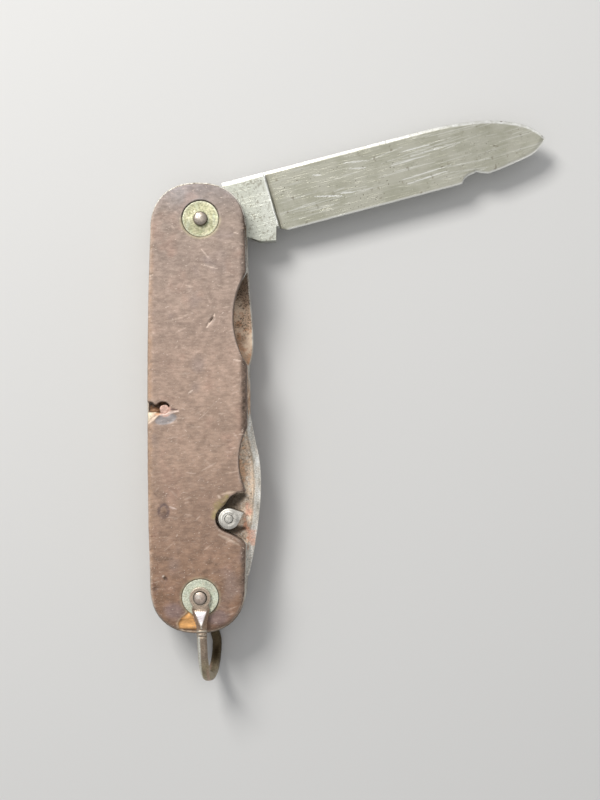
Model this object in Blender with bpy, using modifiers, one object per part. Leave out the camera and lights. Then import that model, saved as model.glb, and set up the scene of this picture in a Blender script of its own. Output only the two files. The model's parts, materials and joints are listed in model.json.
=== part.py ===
"""A two-layer naval clasp knife: a main blade and a can opener that fold into a riveted handle.

The knife lies on its rear scale. +Z points out of the front scale, +Y runs along the handle to the
blade's pin, and the origin is on the rear face, midway between the two end pins.
"""

import math

import bmesh
import bpy

MM = 0.001

# Handle
HANDLE_LENGTH = 95.0 * MM
HANDLE_WIDTH = 21.0 * MM
HANDLE_AXIS_X = -0.6 * MM  # the middle of the handle, seen from the pins' line
SIDE_SWELL = 0.6 * MM  # how far each long side bows out
END_SQUARENESS = 2.3  # 2 is a true half circle
PIN_INSET = 7.6 * MM  # from a pin to the handle's end

# Layers, from the rear face up
SCALE_THICKNESS = 3.6 * MM
LINER_THICKNESS = 0.9 * MM
BLADE_THICKNESS = 2.6 * MM
OPENER_THICKNESS = 2.4 * MM
SEAT_GAP = 0.2 * MM  # between faces that lie on each other
LINER_PROUD = 0.3 * MM  # how far the liners stand out past the scales

# Crown of the scales
BELLY_HALF = 9.0 * MM  # the flat middle runs this far each way
CROWN_DROP = 1.8 * MM  # how far the face has fallen at the pins
EDGE_ROUND = 1.6 * MM  # rounding along the long sides
EDGE_DROP = 1.1 * MM

# Pins and their holes
PIN_RADIUS = 1.25 * MM
BLADE_HEAD_RADIUS = 1.5 * MM
BLADE_HEAD_HEIGHT = 0.8 * MM
BAIL_HEAD_RADIUS = 1.4 * MM
BAIL_HEAD_HEIGHT = 0.5 * MM
SPRING_PIN_RADIUS = 0.8 * MM
SPRING_PIN_INSET = 3.65 * MM  # from the handle's left side
SPRING_PIN_Y = -0.3 * MM
SPRING_PIN_SUNK = 0.3 * MM
HOLE_CLEARANCE = 0.15 * MM

# Washers let into the scales
WASHER_RADIUS = 3.7 * MM
WASHER_CLEARANCE = 0.2 * MM
WASHER_FLOOR = 0.5 * MM  # the scale's wall under a washer
BLADE_WASHER_SUNK = 0.35 * MM
BAIL_WASHER_PROUD = 0.15 * MM

# Tangs: square blocks with rounded corners, turning against the springs
TANG_HALF = 5.8 * MM
TANG_CORNER_REACH = 0.4 * MM  # how far the corners reach past the flats
SPRING_CLEARANCE = 0.3 * MM
SHOULDER_RISE = 1.5 * MM  # the stop that meets the spring's end
KICK_DEPTH = 2.1 * MM

# Main blade, in its own frame: along the blade, and towards its spine
BLADE_ANGLE = 14.6  # degrees above +X as it lies half open
BLADE_TIP_ROOM = 3.5 * MM  # from its tip to the far pin's line when it is closed
BLADE_SHOULDER = 6.0 * MM  # from the pin
BLADE_EDGE_DEPTH = 6.1 * MM
PLUNGE = 15.2 * MM  # from the pin to where the grind starts
SPINE_HALF = 1.15 * MM  # half thickness of the ground blade
EDGE_HALF = 0.2 * MM

# Can opener, in its own frame: x across, y along it
OPENER_LENGTH = 39.9 * MM
OPENER_SHOULDER = 4.2 * MM
LUG_CENTRE = (6.07 * MM, 16.6 * MM)
LUG_RADIUS = 2.2 * MM
LUG_POINT = 3.35 * MM  # from the centre to the teardrop's point
LUG_POINT_ANGLE = 22.0
LUG_SUNK = 0.5 * MM  # below the front face
LUG_CLEARANCE = 0.65 * MM
LUG_RIVET_RADIUS = 0.8 * MM

# Springs
NOSE_BEHIND = 9.0 * MM  # how far a spring's end runs past the pin, towards the handle's middle
BLADE_NOSE_AHEAD = 5.4 * MM
OPENER_NOSE_AHEAD = 3.6 * MM
KICK_CLEARANCE = 0.6 * MM
BOSS_WALL = 1.85 * MM  # from the spring pin's centre to the spring's inner face
PAD_WALL = 1.35 * MM  # the butt's wall round an end pin

# Finger cuts in the handle's right side
PINCH_FROM_PIN = 20.9 * MM
PINCH_RADIUS = 18.2 * MM
PINCH_DEPTH = 3.0 * MM
THUMB_FROM_PIN = 28.8 * MM
THUMB_RADIUS = 14.5 * MM
THUMB_DEPTH = 1.8 * MM

# Bail
BAIL_ANGLE = -87.0  # degrees, where its front arm hangs
BAIL_TWIST = 11.0  # the rear arm leads the front one by this much
BAIL_EYE_RADIUS = 2.3 * MM
BAIL_EYE_THICKNESS = 0.6 * MM
BAIL_ARM_THICKNESS = 1.3 * MM
BAIL_TAPER_END = 5.5 * MM
BAIL_ARM_END = 11.5 * MM
BAIL_REACH = 17.6 * MM  # from the pin to the wire's centre at the bend
BAIL_WIRE_RADIUS = 1.1 * MM

STACK = (
    ("rear_scale", SCALE_THICKNESS),
    ("rear_liner", LINER_THICKNESS),
    ("blade", BLADE_THICKNESS),
    ("centre_liner", LINER_THICKNESS),
    ("opener", OPENER_THICKNESS),
    ("front_liner", LINER_THICKNESS),
    ("front_scale", SCALE_THICKNESS),
)
THICKNESS = sum(thickness for _, thickness in STACK) + SEAT_GAP * (len(STACK) - 1)
PIN_Y = HANDLE_LENGTH / 2 - PIN_INSET
RIGHT_SIDE = HANDLE_AXIS_X + HANDLE_WIDTH / 2
SPRING_PIN_X = HANDLE_AXIS_X - HANDLE_WIDTH / 2 + SPRING_PIN_INSET
NOSE_FACE = -(TANG_HALF + TANG_CORNER_REACH + SPRING_CLEARANCE)
OUTSIDE = 30.0 * MM  # how far cutters reach past the handle

PIN_STEPS = 24
WASHER_STEPS = 40


# ---------------------------------------------------------------- outlines

def stacked(name):
    """The lowest and highest z of a layer."""
    z = 0.0
    for layer, thickness in STACK:
        if layer == name:
            return z, z + thickness
        z += thickness + SEAT_GAP
    raise ValueError(name)


def facing(side, depth):
    """The z that lies a depth in from the front or the rear face."""
    return THICKNESS - depth if side == "front" else depth


def in_mm(*points):
    return [(x * MM, y * MM) for x, y in points]


def arc(centre, radius, start, end, steps):
    """Points along a circular arc, with its angles in degrees."""
    turns = [math.radians(start + (end - start) * i / steps) for i in range(steps + 1)]
    return [(centre[0] + radius * math.cos(t), centre[1] + radius * math.sin(t)) for t in turns]


def smooth(points, steps=4):
    """A Catmull-Rom curve through the points, its ends included."""
    padded = [points[0], *points, points[-1]]
    line = []
    for before, start, end, after in zip(padded, padded[1:], padded[2:], padded[3:]):
        for i in range(steps):
            t = i / steps
            line.append(tuple(
                b + 0.5 * t * (c - a + t * (2 * a - 5 * b + 4 * c - d + t * (3 * (b - c) + d - a)))
                for a, b, c, d in zip(before, start, end, after)
            ))
    return [*line, points[-1]]


def barrel(grow=0.0):
    """The handle's outline: bowed sides, and two slightly squared round ends."""
    half = HANDLE_WIDTH / 2 + grow
    end_half = half - SIDE_SWELL
    end_y = HANDLE_LENGTH / 2 + grow - end_half
    side_radius = (end_y ** 2 + SIDE_SWELL ** 2) / (2 * SIDE_SWELL)
    side_x = side_radius - half
    turn = math.degrees(math.asin(end_y / side_radius))
    right = arc((-side_x, 0), side_radius, -turn, turn, 6)
    top = []
    for i in range(1, 24):
        angle = math.radians(180 * i / 24)
        across, along = (abs(v) ** (2 / END_SQUARENESS) for v in (math.cos(angle), math.sin(angle)))
        top.append((math.copysign(end_half * across, math.cos(angle)), end_y + end_half * along))
    half_way = [*right, *top]
    return [(HANDLE_AXIS_X + sign * x, sign * y) for sign in (1, -1) for x, y in half_way]


def tang(shoulder):
    """The tang's outline about its pin, from its lower flat round the back to its upper flat."""
    reach = TANG_HALF + TANG_CORNER_REACH
    flat = math.degrees(math.acos(TANG_HALF / reach))
    return [
        *arc((0, 0), reach, 270 - flat, 180 + flat, 4),
        *arc((0, 0), reach, 180 - flat, 90 + flat, 4),
        (shoulder, TANG_HALF),
    ]


def blade_outline():
    tip = 2 * PIN_Y - BLADE_TIP_ROOM
    spine = TANG_HALF + SHOULDER_RISE
    kick = -(TANG_HALF + KICK_DEPTH)

    def from_tip(*points):
        return [(tip - x, y) for x, y in in_mm(*points)]

    back = [(tip - 26.3 * MM, spine), (tip - 19.8 * MM, spine - 0.2 * MM)]
    point = from_tip((11.4, 6.0), (4.7, 3.6), (1.6, 1.2), (0, -1.0))
    belly = from_tip((0, -1.0), (2.4, -3.0), (5.3, -4.0), (11.0, -4.9), (13.8, -5.2))
    nick = from_tip((16.3, -4.4), (17.7, -4.6), (19.1, -5.1))
    return [
        *tang(BLADE_SHOULDER),
        (BLADE_SHOULDER, spine),
        *smooth([*back, *point])[:-1],
        *smooth(belly),
        *nick,
        (tip - 19.9 * MM, -BLADE_EDGE_DEPTH + 0.1 * MM),
        (PLUNGE + 2.2 * MM, -BLADE_EDGE_DEPTH),
        (PLUNGE, -TANG_HALF + 0.9 * MM),
        (PLUNGE - 0.8 * MM, kick),
        (PLUNGE - 4.3 * MM, kick + 0.7 * MM),
        (PLUNGE - 6.0 * MM, -TANG_HALF - 0.2 * MM),
        (PLUNGE - 7.0 * MM, -TANG_HALF),
    ]


def opener_outline():
    """Clockwise from the tang: up the inner edge to the tip and down the curved back."""
    def from_tip(x, y):
        return x * MM, OPENER_LENGTH - y * MM

    inner = [(-1.2 * MM, 13.0 * MM), (-0.8 * MM, 17.5 * MM), from_tip(1.0, 13.9), from_tip(5.5, 6.9)]
    back = [from_tip(10.1, 0), from_tip(11.45, 6.8), from_tip(12.5, 11.8), from_tip(12.6, 19.5)]
    root = [(11.4 * MM, 10.4 * MM), (10.1 * MM, OPENER_SHOULDER)]
    reach = TANG_HALF + TANG_CORNER_REACH
    flat = math.degrees(math.acos(TANG_HALF / reach))
    return [
        *arc((0, 0), reach, 360 - flat, 270 + flat, 4),
        *arc((0, 0), reach, 270 - flat, 180 + flat, 4),
        (-TANG_HALF, 11.0 * MM),
        *smooth([*inner, back[0]]),
        *smooth([*back, *root])[1:],
        (TANG_HALF, OPENER_SHOULDER),
    ]


def lug_outline(grow=0.0):
    """A round boss drawn out to one point."""
    radius = LUG_RADIUS + grow
    point = LUG_POINT + grow * LUG_POINT / LUG_RADIUS
    open_angle = math.degrees(math.acos(radius / point))
    start = LUG_POINT_ANGLE + open_angle
    tip = math.radians(LUG_POINT_ANGLE)
    return [
        *arc(LUG_CENTRE, radius, start, start + 360 - 2 * open_angle, 20),
        (LUG_CENTRE[0] + point * math.cos(tip), LUG_CENTRE[1] + point * math.sin(tip)),
    ]


def lug_notch():
    """The cut that the lug stands in and swings out of, about the opener's pin."""
    orbit = math.hypot(*LUG_CENTRE)
    angle = math.degrees(math.atan2(LUG_CENTRE[1], LUG_CENTRE[0]))
    room = LUG_RADIUS + LUG_CLEARANCE
    outside = RIGHT_SIDE + 4.0 * MM
    outline = [
        *arc((0, 0), orbit - room, 40, angle, 8),
        *arc(LUG_CENTRE, room, angle + 180, angle + 45, 6)[1:],
        (LUG_CENTRE[0] + 0.3 * MM, LUG_CENTRE[1] + 4.7 * MM),
        (RIGHT_SIDE - THUMB_DEPTH - 0.1 * MM, LUG_CENTRE[1] + 5.7 * MM),
        (outside, LUG_CENTRE[1] + 5.7 * MM),
        (outside, LUG_CENTRE[1] - 7.0 * MM),
    ]
    return [(x, y - PIN_Y) for x, y in outline]


def bulge_outline():
    """The centre liner's swelling beside the pinch cut, steep towards the handle's middle."""
    swelling = [(3.9, -0.4), (14.9, 0.3), (20.0, 0.8), (24.4, 1.05), (28.0, 1.0), (30.6, 0.4), (32.2, -0.5)]
    line = [(RIGHT_SIDE + proud * MM, PIN_Y - down * MM) for down, proud in swelling]
    return smooth(line, 5)


# ---------------------------------------------------------------- modelling helpers

def collection(name):
    made = bpy.data.collections.new(name)
    bpy.context.scene.collection.children.link(made)
    return made


def material(name, colour, roughness, metallic):
    made = bpy.data.materials.new(name)
    made.use_nodes = True
    shader = made.node_tree.nodes["Principled BSDF"]
    shader.inputs["Base Color"].default_value = (*colour, 1.0)
    shader.inputs["Roughness"].default_value = roughness
    shader.inputs["Metallic"].default_value = metallic
    return made


def from_curve(name, curve_object, group):
    """The curve's filled shape as a mesh object, its caps welded to its sides."""
    bpy.context.view_layer.update()
    evaluated = curve_object.evaluated_get(bpy.context.evaluated_depsgraph_get())
    mesh = bpy.data.meshes.new_from_object(evaluated)
    shape = bmesh.new()
    shape.from_mesh(mesh)
    bmesh.ops.remove_doubles(shape, verts=shape.verts, dist=1e-6)
    bmesh.ops.recalc_face_normals(shape, faces=shape.faces)
    shape.to_mesh(mesh)
    shape.free()
    made = bpy.data.objects.new(name, mesh)
    made.matrix_world = curve_object.matrix_world
    group.objects.link(made)
    bpy.data.objects.remove(curve_object)
    return made


def plate(name, outline, low, high, group, tilt=(0.0, 0.0, 0.0)):
    """A flat outline given a thickness from low to high, along z or the axis it is turned to."""
    curve = bpy.data.curves.new(name, "CURVE")
    curve.dimensions = "2D"
    curve.fill_mode = "BOTH"
    curve.extrude = (high - low) / 2
    spline = curve.splines.new("POLY")
    spline.points.add(len(outline) - 1)
    spline.use_cyclic_u = True
    for point, (x, y) in zip(spline.points, outline):
        point.co = (x, y, 0.0, 1.0)
    flat = bpy.data.objects.new(f"{name}_outline", curve)
    flat.rotation_euler = [math.radians(angle) for angle in tilt]
    if not any(tilt):
        flat.location.z = (low + high) / 2
    group.objects.link(flat)
    return from_curve(name, flat, group)


def tube(name, path, radii, group):
    """A round wire along a path, with its own radius at each point."""
    curve = bpy.data.curves.new(name, "CURVE")
    curve.dimensions = "3D"
    curve.bevel_depth = 1.0
    curve.bevel_resolution = 2
    curve.use_fill_caps = True
    spline = curve.splines.new("POLY")
    spline.points.add(len(path) - 1)
    for point, place, radius in zip(spline.points, path, radii):
        point.co = (*place, 1.0)
        point.radius = radius
    wire = bpy.data.objects.new(f"{name}_path", curve)
    group.objects.link(wire)
    return from_curve(name, wire, group)


def turned(name, profile, steps, group, ring=False):
    """A turned solid from its profile, which runs from the top down its outer side."""
    mesh = bpy.data.meshes.new(name)
    edges = [(i, i + 1) for i in range(len(profile) - 1)]
    if ring:
        edges.append((len(profile) - 1, 0))
    mesh.from_pydata([(x, 0.0, z) for x, z in profile], edges, [])
    made = bpy.data.objects.new(name, mesh)
    group.objects.link(made)
    screw = made.modifiers.new("Turn", "SCREW")
    screw.axis = "Z"
    screw.steps = steps
    screw.render_steps = steps
    screw.use_merge_vertices = True
    screw.merge_threshold = 1e-6
    screw.use_smooth_shade = True
    return made


def combine(target, other, operation):
    step = target.modifiers.new(other.name, "BOOLEAN")
    step.operation = operation
    step.object = other
    step.solver = "EXACT"


def as_cutter(shape):
    shape.hide_render = True
    shape.display_type = "WIRE"
    return shape


def cut(target, shape, operation="DIFFERENCE"):
    combine(target, as_cutter(shape), operation)


def cylinder(name, centre, radius, low, high, group, steps=PIN_STEPS):
    profile = [(0.0, high), (radius, high), (radius, low), (0.0, low)]
    made = turned(name, profile, steps, group)
    made.location = (centre[0], centre[1], 0.0)
    return made


def drill(target, name, centre, radius, cutters, steps=PIN_STEPS):
    """A hole right through the handle's thickness."""
    shape = cylinder(name, centre, radius, -OUTSIDE, THICKNESS + OUTSIDE, cutters, steps)
    cut(target, shape)
    return shape


def finish(piece, surface):
    piece.data.materials.clear()
    piece.data.materials.append(surface)
    return piece


# ---------------------------------------------------------------- handle

def drill_spring_bore(piece, cutters):
    place = (SPRING_PIN_X, SPRING_PIN_Y)
    drill(piece, f"{piece.name}_spring_bore", place, SPRING_PIN_RADIUS + HOLE_CLEARANCE, cutters, 16)


def drill_handle(piece, cutters):
    """The holes for the two end pins and the spring pin."""
    for label, y in (("blade_bore", PIN_Y), ("opener_bore", -PIN_Y)):
        drill(piece, f"{piece.name}_{label}", (0.0, y), PIN_RADIUS + HOLE_CLEARANCE, cutters)
    drill_spring_bore(piece, cutters)


def cut_pinch(piece, cutters):
    """The finger cut that bares the closed blade's spine."""
    place = (RIGHT_SIDE - PINCH_DEPTH + PINCH_RADIUS, PIN_Y - PINCH_FROM_PIN)
    drill(piece, f"{piece.name}_pinch", place, PINCH_RADIUS, cutters, 96)


def cut_opener_side(piece, cutters):
    """The thumb cut over the opener's back, and the notch that its lug swings out of."""
    place = (RIGHT_SIDE - THUMB_DEPTH + THUMB_RADIUS, THUMB_FROM_PIN - PIN_Y)
    drill(piece, f"{piece.name}_thumb", place, THUMB_RADIUS, cutters, 80)
    notch = plate(f"{piece.name}_notch", lug_notch(), -OUTSIDE, THICKNESS + OUTSIDE, cutters)
    cut(piece, notch)


def crown_depth(y):
    """How far the scale's face has fallen below its flat belly."""
    radius = (PIN_Y - BELLY_HALF) ** 2 / (2 * CROWN_DROP)
    return max(0.0, abs(y) - BELLY_HALF) ** 2 / (2 * radius)


def shape_crown(scale, side, cutters):
    """The face's fall towards both ends, and its rounded long sides."""
    end = HANDLE_LENGTH / 2 + MM
    stations = [BELLY_HALF + (end - BELLY_HALF) * i / 8 for i in range(9)]
    along = [-y for y in reversed(stations)] + stations
    face = [(y, facing(side, crown_depth(y))) for y in along]
    base = facing(side, SCALE_THICKNESS + MM)
    lengthwise = [*face, (along[-1], base), (along[0], base)]
    crown = plate(f"{scale.name}_crown", lengthwise, -OUTSIDE, OUTSIDE, cutters, (90, 0, 90))
    cut(scale, crown, "INTERSECT")

    half = HANDLE_WIDTH / 2
    corner = [(half - EDGE_ROUND * (1 - math.sin(t)), EDGE_DROP * (1 - math.cos(t)))
              for t in (math.radians(a) for a in (0, 20, 40, 60, 90))]
    right = [(HANDLE_AXIS_X + x, facing(side, depth)) for x, depth in corner]
    left = [(HANDLE_AXIS_X - x, facing(side, depth)) for x, depth in corner]
    crosswise = [*reversed(left), *right, (right[-1][0], base), (left[-1][0], base)]
    reach = HANDLE_LENGTH
    cut(scale, plate(f"{scale.name}_sides", crosswise, -reach, reach, cutters, (90, 0, 0)), "INTERSECT")


def washer_depths(sunk):
    """The depths of a washer's outer and inner faces."""
    return CROWN_DROP + sunk, SCALE_THICKNESS - WASHER_FLOOR - SEAT_GAP


def cut_seat(scale, side, end, y, cutters):
    """A washer's recess and the pin's hole below it, as one stepped cutter."""
    floor = SCALE_THICKNESS - WASHER_FLOOR
    recess = WASHER_RADIUS + WASHER_CLEARANCE
    bore = PIN_RADIUS + HOLE_CLEARANCE
    profile = [(0.0, -OUTSIDE), (recess, -OUTSIDE), (recess, floor)]
    profile += [(bore, floor), (bore, OUTSIDE), (0.0, OUTSIDE)]
    profile = [(x, facing(side, depth)) for x, depth in profile]
    if side == "rear":
        profile.reverse()
    shape = turned(f"{side}_{end}_seat", profile, WASHER_STEPS, cutters)
    shape.location.y = y
    cut(scale, shape)


def make_scale(side, parts, cutters):
    low, high = stacked(f"{side}_scale")
    scale = plate(f"{side}_scale", barrel(), low, high, parts)
    shape_crown(scale, side, cutters)
    for end, y in (("blade", PIN_Y), ("bail", -PIN_Y)):
        cut_seat(scale, side, end, y, cutters)
    drill_spring_bore(scale, cutters)
    cut_pinch(scale, cutters)
    if side == "front":
        cut_opener_side(scale, cutters)
    return scale


def make_liner(name, parts, cutters):
    low, high = stacked(name)
    liner = plate(name, barrel(LINER_PROUD), low, high, parts)
    if name == "centre_liner":
        add_bulge(liner, low, high, cutters)
    else:
        cut_pinch(liner, cutters)
    if name == "front_liner":
        cut_opener_side(liner, cutters)
    drill_handle(liner, cutters)
    return liner


def add_bulge(liner, low, high, cutters):
    """The centre liner's swelling, which guards the closed blade behind the finger cut."""
    swelling = plate("centre_liner_bulge", bulge_outline(), low, high, cutters)
    cut(liner, swelling, "UNION")


# ---------------------------------------------------------------- springs

def blade_spring_space():
    """What the blade's spring leaves free, from its end at the blade's tang to its butt."""
    pad = PIN_RADIUS + PAD_WALL
    kick_face = -(TANG_HALF + KICK_DEPTH)
    boss = SPRING_PIN_X + BOSS_WALL
    return [
        (-OUTSIDE, PIN_Y + BLADE_NOSE_AHEAD),
        (NOSE_FACE, PIN_Y + BLADE_NOSE_AHEAD),
        (NOSE_FACE, PIN_Y - NOSE_BEHIND),
        (kick_face, PIN_Y - NOSE_BEHIND - 0.8 * MM),
        (kick_face, PIN_Y - PLUNGE - KICK_CLEARANCE),
        *smooth([(kick_face + 1.0 * MM, PIN_Y - PLUNGE - 4.0 * MM), (boss, SPRING_PIN_Y + 5.0 * MM),
                 (boss, SPRING_PIN_Y - 5.0 * MM), (boss + 0.3 * MM, 15.0 * MM - PIN_Y),
                 (-3.6 * MM, 6.5 * MM - PIN_Y)]),
        *arc((0.0, -PIN_Y), pad, 115, 20, 6),
        (OUTSIDE, -PIN_Y),
        (OUTSIDE, PIN_Y + OUTSIDE),
        (-OUTSIDE, PIN_Y + OUTSIDE),
    ]


def opener_spring_space():
    """What the opener's spring leaves free, from its butt to its end at the opener's tang."""
    pad = PIN_RADIUS + PAD_WALL
    boss = SPRING_PIN_X + BOSS_WALL
    return [
        (OUTSIDE, PIN_Y - 2 * pad),
        (0.0, PIN_Y - 2 * pad),
        *smooth([(-4.2 * MM, PIN_Y - 7.5 * MM), (boss, PIN_Y - 15.0 * MM),
                 (boss, SPRING_PIN_Y - 5.0 * MM), (NOSE_FACE, NOSE_BEHIND + 6.0 * MM - PIN_Y)]),
        (NOSE_FACE, -PIN_Y - OPENER_NOSE_AHEAD),
        (-OUTSIDE, -PIN_Y - OPENER_NOSE_AHEAD),
        (-OUTSIDE, -PIN_Y - OUTSIDE),
        (OUTSIDE, -PIN_Y - OUTSIDE),
    ]


def make_spring(name, layer, space, parts, cutters):
    low, high = stacked(layer)
    spring = plate(name, barrel(LINER_PROUD), low, high, parts)
    cut(spring, plate(f"{name}_space", space, -OUTSIDE, THICKNESS + OUTSIDE, cutters))
    drill_handle(spring, cutters)
    return spring


# ---------------------------------------------------------------- pins and washers

def dome(radius, top, height, outward):
    """A rivet head's profile from its crown to its rim."""
    crown = 0.55 * height
    return [(radius * math.sin(t), top - outward * crown * (1 - math.cos(t)))
            for t in (math.radians(a) for a in (0, 25, 50, 75, 90))]


def make_end_pin(name, y, head_radius, head_height, seat_depth, parts):
    """A pin with a head over each face, riveted down on what lies at the seat's depth."""
    under = seat_depth - SEAT_GAP
    top = facing("front", under - head_height)
    bottom = facing("rear", under - head_height)
    profile = [
        *dome(head_radius, top, head_height, 1),
        (head_radius, facing("front", under)),
        (PIN_RADIUS, facing("front", under)),
        (PIN_RADIUS, facing("rear", under)),
        (head_radius, facing("rear", under)),
        *reversed(dome(head_radius, bottom, head_height, -1)),
    ]
    pin = turned(name, profile, PIN_STEPS, parts)
    pin.location.y = y
    return pin


def make_spring_pin(parts):
    place = (SPRING_PIN_X, SPRING_PIN_Y)
    low = facing("rear", SPRING_PIN_SUNK)
    high = facing("front", SPRING_PIN_SUNK)
    return cylinder("spring_pin", place, SPRING_PIN_RADIUS, low, high, parts, 16)


def make_washer(side, end, y, sunk, parts):
    outer, inner = (facing(side, depth) for depth in washer_depths(sunk))
    low, high = min(outer, inner), max(outer, inner)
    bore = PIN_RADIUS + HOLE_CLEARANCE
    profile = [(bore, high), (WASHER_RADIUS, high), (WASHER_RADIUS, low), (bore, low)]
    washer = turned(f"{side}_{end}_washer", profile, WASHER_STEPS, parts, ring=True)
    washer.location.y = y
    return washer


# ---------------------------------------------------------------- blade and opener

def pivot(name, y, angle, group):
    """An empty on a pin's axis, in whose frame a moving piece is built."""
    empty = bpy.data.objects.new(name, None)
    empty.location = (0.0, y, 0.0)
    empty.rotation_euler.z = math.radians(angle)
    group.objects.link(empty)
    return empty


def grind(blade, side, low, high, cutters):
    """One flat bevel, from the spine down to the edge and from the plunge to the tip."""
    spine = TANG_HALF + SHOULDER_RISE
    middle = (low + high) / 2
    slope = (SPINE_HALF - EDGE_HALF) / (spine + BLADE_EDGE_DEPTH)
    sign = 1 if side == "front" else -1

    def height(across):
        return middle + sign * (EDGE_HALF + slope * (across + BLADE_EDGE_DEPTH))

    reach = spine + 2 * MM
    depth = -(BLADE_EDGE_DEPTH + 3 * MM)
    wedge = [(reach, height(reach)), (depth, height(depth)),
             (depth, middle + sign * 4 * MM), (reach, middle + sign * 4 * MM)]
    half_length = PIN_Y
    shape = plate(f"blade_{side}_grind", wedge, -half_length, half_length, cutters, (90, 0, 90))
    shape.location.x = PLUNGE + half_length
    cut(blade, shape)
    return shape


def make_blade(parts, cutters):
    low, high = stacked("blade")
    blade = plate("main_blade", blade_outline(), low, high, parts)
    shapes = [grind(blade, side, low, high, cutters) for side in ("front", "rear")]
    shapes.append(drill(blade, "blade_bore", (0.0, 0.0), PIN_RADIUS + HOLE_CLEARANCE, cutters))
    axis = pivot("blade_pivot", PIN_Y, BLADE_ANGLE, parts)
    for piece in (blade, *shapes):
        piece.parent = axis
    return blade


def make_opener(parts, cutters):
    low, high = stacked("opener")
    opener = plate("can_opener", opener_outline(), low, high, parts)
    bore = drill(opener, "opener_bore", (0.0, 0.0), PIN_RADIUS + HOLE_CLEARANCE, cutters)
    rivet_bore = LUG_RIVET_RADIUS + HOLE_CLEARANCE
    hole = drill(opener, "opener_rivet_bore", LUG_CENTRE, rivet_bore, cutters, 16)
    lug = plate("rim_lug", lug_outline(), high + SEAT_GAP, facing("front", LUG_SUNK), parts)
    lug_hole = drill(lug, "lug_rivet_bore", LUG_CENTRE, rivet_bore, cutters, 16)
    rivet_low = low + SEAT_GAP
    rivet_high = facing("front", LUG_SUNK - SEAT_GAP / 2)
    rivet = cylinder("lug_rivet", LUG_CENTRE, LUG_RIVET_RADIUS, rivet_low, rivet_high, parts, 16)
    axis = pivot("opener_pivot", -PIN_Y, 0.0, parts)
    for piece in (opener, bore, hole, lug, lug_hole, rivet):
        piece.parent = axis
    return opener, lug, rivet


# ---------------------------------------------------------------- bail

def bail_depths():
    """The depths of an arm's outer and inner faces, and of the face that the pin's head is over."""
    inner = washer_depths(-BAIL_WASHER_PROUD)[0] - SEAT_GAP
    return inner - BAIL_ARM_THICKNESS, inner, inner - BAIL_EYE_THICKNESS


def bail_arm(side, twist, group, cutters):
    """A flat eye that tapers into a flattened arm, thinned where the pin's head lies over it."""
    outer, inner, seat = bail_depths()
    half = BAIL_WIRE_RADIUS
    outline = [
        *arc((0, 0), BAIL_EYE_RADIUS, 50, 310, 22),
        (BAIL_TAPER_END, -half),
        *arc((BAIL_ARM_END, 0), half, -90, 90, 8),
        (BAIL_TAPER_END, half),
    ]
    turn = math.radians(twist)
    outline = [(x * math.cos(turn) - y * math.sin(turn), x * math.sin(turn) + y * math.cos(turn))
               for x, y in outline]
    faces = sorted((facing(side, outer), facing(side, inner)))
    arm = plate(f"{side}_bail_arm", outline, *faces, group)
    step = sorted((facing(side, seat), facing(side, -OUTSIDE)))
    thin = cylinder(f"{side}_bail_step", (0.0, 0.0), BAIL_EYE_RADIUS + 0.4 * MM, *step, cutters)
    cut(arm, thin)
    return arm, thin


def bail_bend(front_z, rear_z):
    """The wire's centre line: a half ellipse between the arms, turning with the twist."""
    bow = BAIL_REACH - BAIL_ARM_END
    middle = (front_z + rear_z) / 2
    half = (front_z - rear_z) / 2
    steps = 16
    path = []
    radii = []
    for i in range(-1, steps + 2):
        share = min(max(i / steps, 0.0), 1.0)
        turn = math.radians(90 - 180 * share)
        reach = BAIL_ARM_END + bow * math.cos(turn) - (1.2 * MM if i in (-1, steps + 1) else 0.0)
        angle = math.radians(BAIL_TWIST) * share ** 2
        path.append((reach * math.cos(angle), reach * math.sin(angle), middle + half * math.sin(turn)))
        thick = min(1.0, math.cos(turn) / math.cos(math.radians(65)))
        thin = BAIL_ARM_THICKNESS / 2 - 0.05 * MM
        radii.append(thin + (BAIL_WIRE_RADIUS - thin) * thick)
    return path, radii


def make_bail(parts, cutters):
    outer, inner, _ = bail_depths()
    rise = (outer + inner) / 2
    path, radii = bail_bend(facing("front", rise), facing("rear", rise))
    bail = tube("bail", path, radii, parts)
    shapes = []
    for side, twist in (("front", 0.0), ("rear", BAIL_TWIST)):
        arm, thin = bail_arm(side, twist, cutters, cutters)
        cut(bail, arm, "UNION")
        shapes += [arm, thin]
    shapes.append(drill(bail, "bail_bore", (0.0, 0.0), PIN_RADIUS + HOLE_CLEARANCE, cutters))
    axis = pivot("bail_pivot", -PIN_Y, BAIL_ANGLE, parts)
    for piece in (bail, *shapes):
        piece.parent = axis
    return bail


# ---------------------------------------------------------------- assembly

def make_surfaces():
    return {
        "fibre": material("vulcanised_fibre", (0.40, 0.30, 0.25), 0.62, 0.0),
        "blade": material("blade_steel", (0.49, 0.48, 0.40), 0.38, 0.9),
        "steel": material("tool_steel", (0.50, 0.44, 0.36), 0.5, 0.8),
        "rusty": material("rusty_steel", (0.42, 0.30, 0.21), 0.7, 0.5),
        "brass": material("tarnished_brass", (0.50, 0.46, 0.32), 0.5, 0.7),
        "wire": material("bail_steel", (0.33, 0.28, 0.23), 0.5, 0.8),
    }


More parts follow.
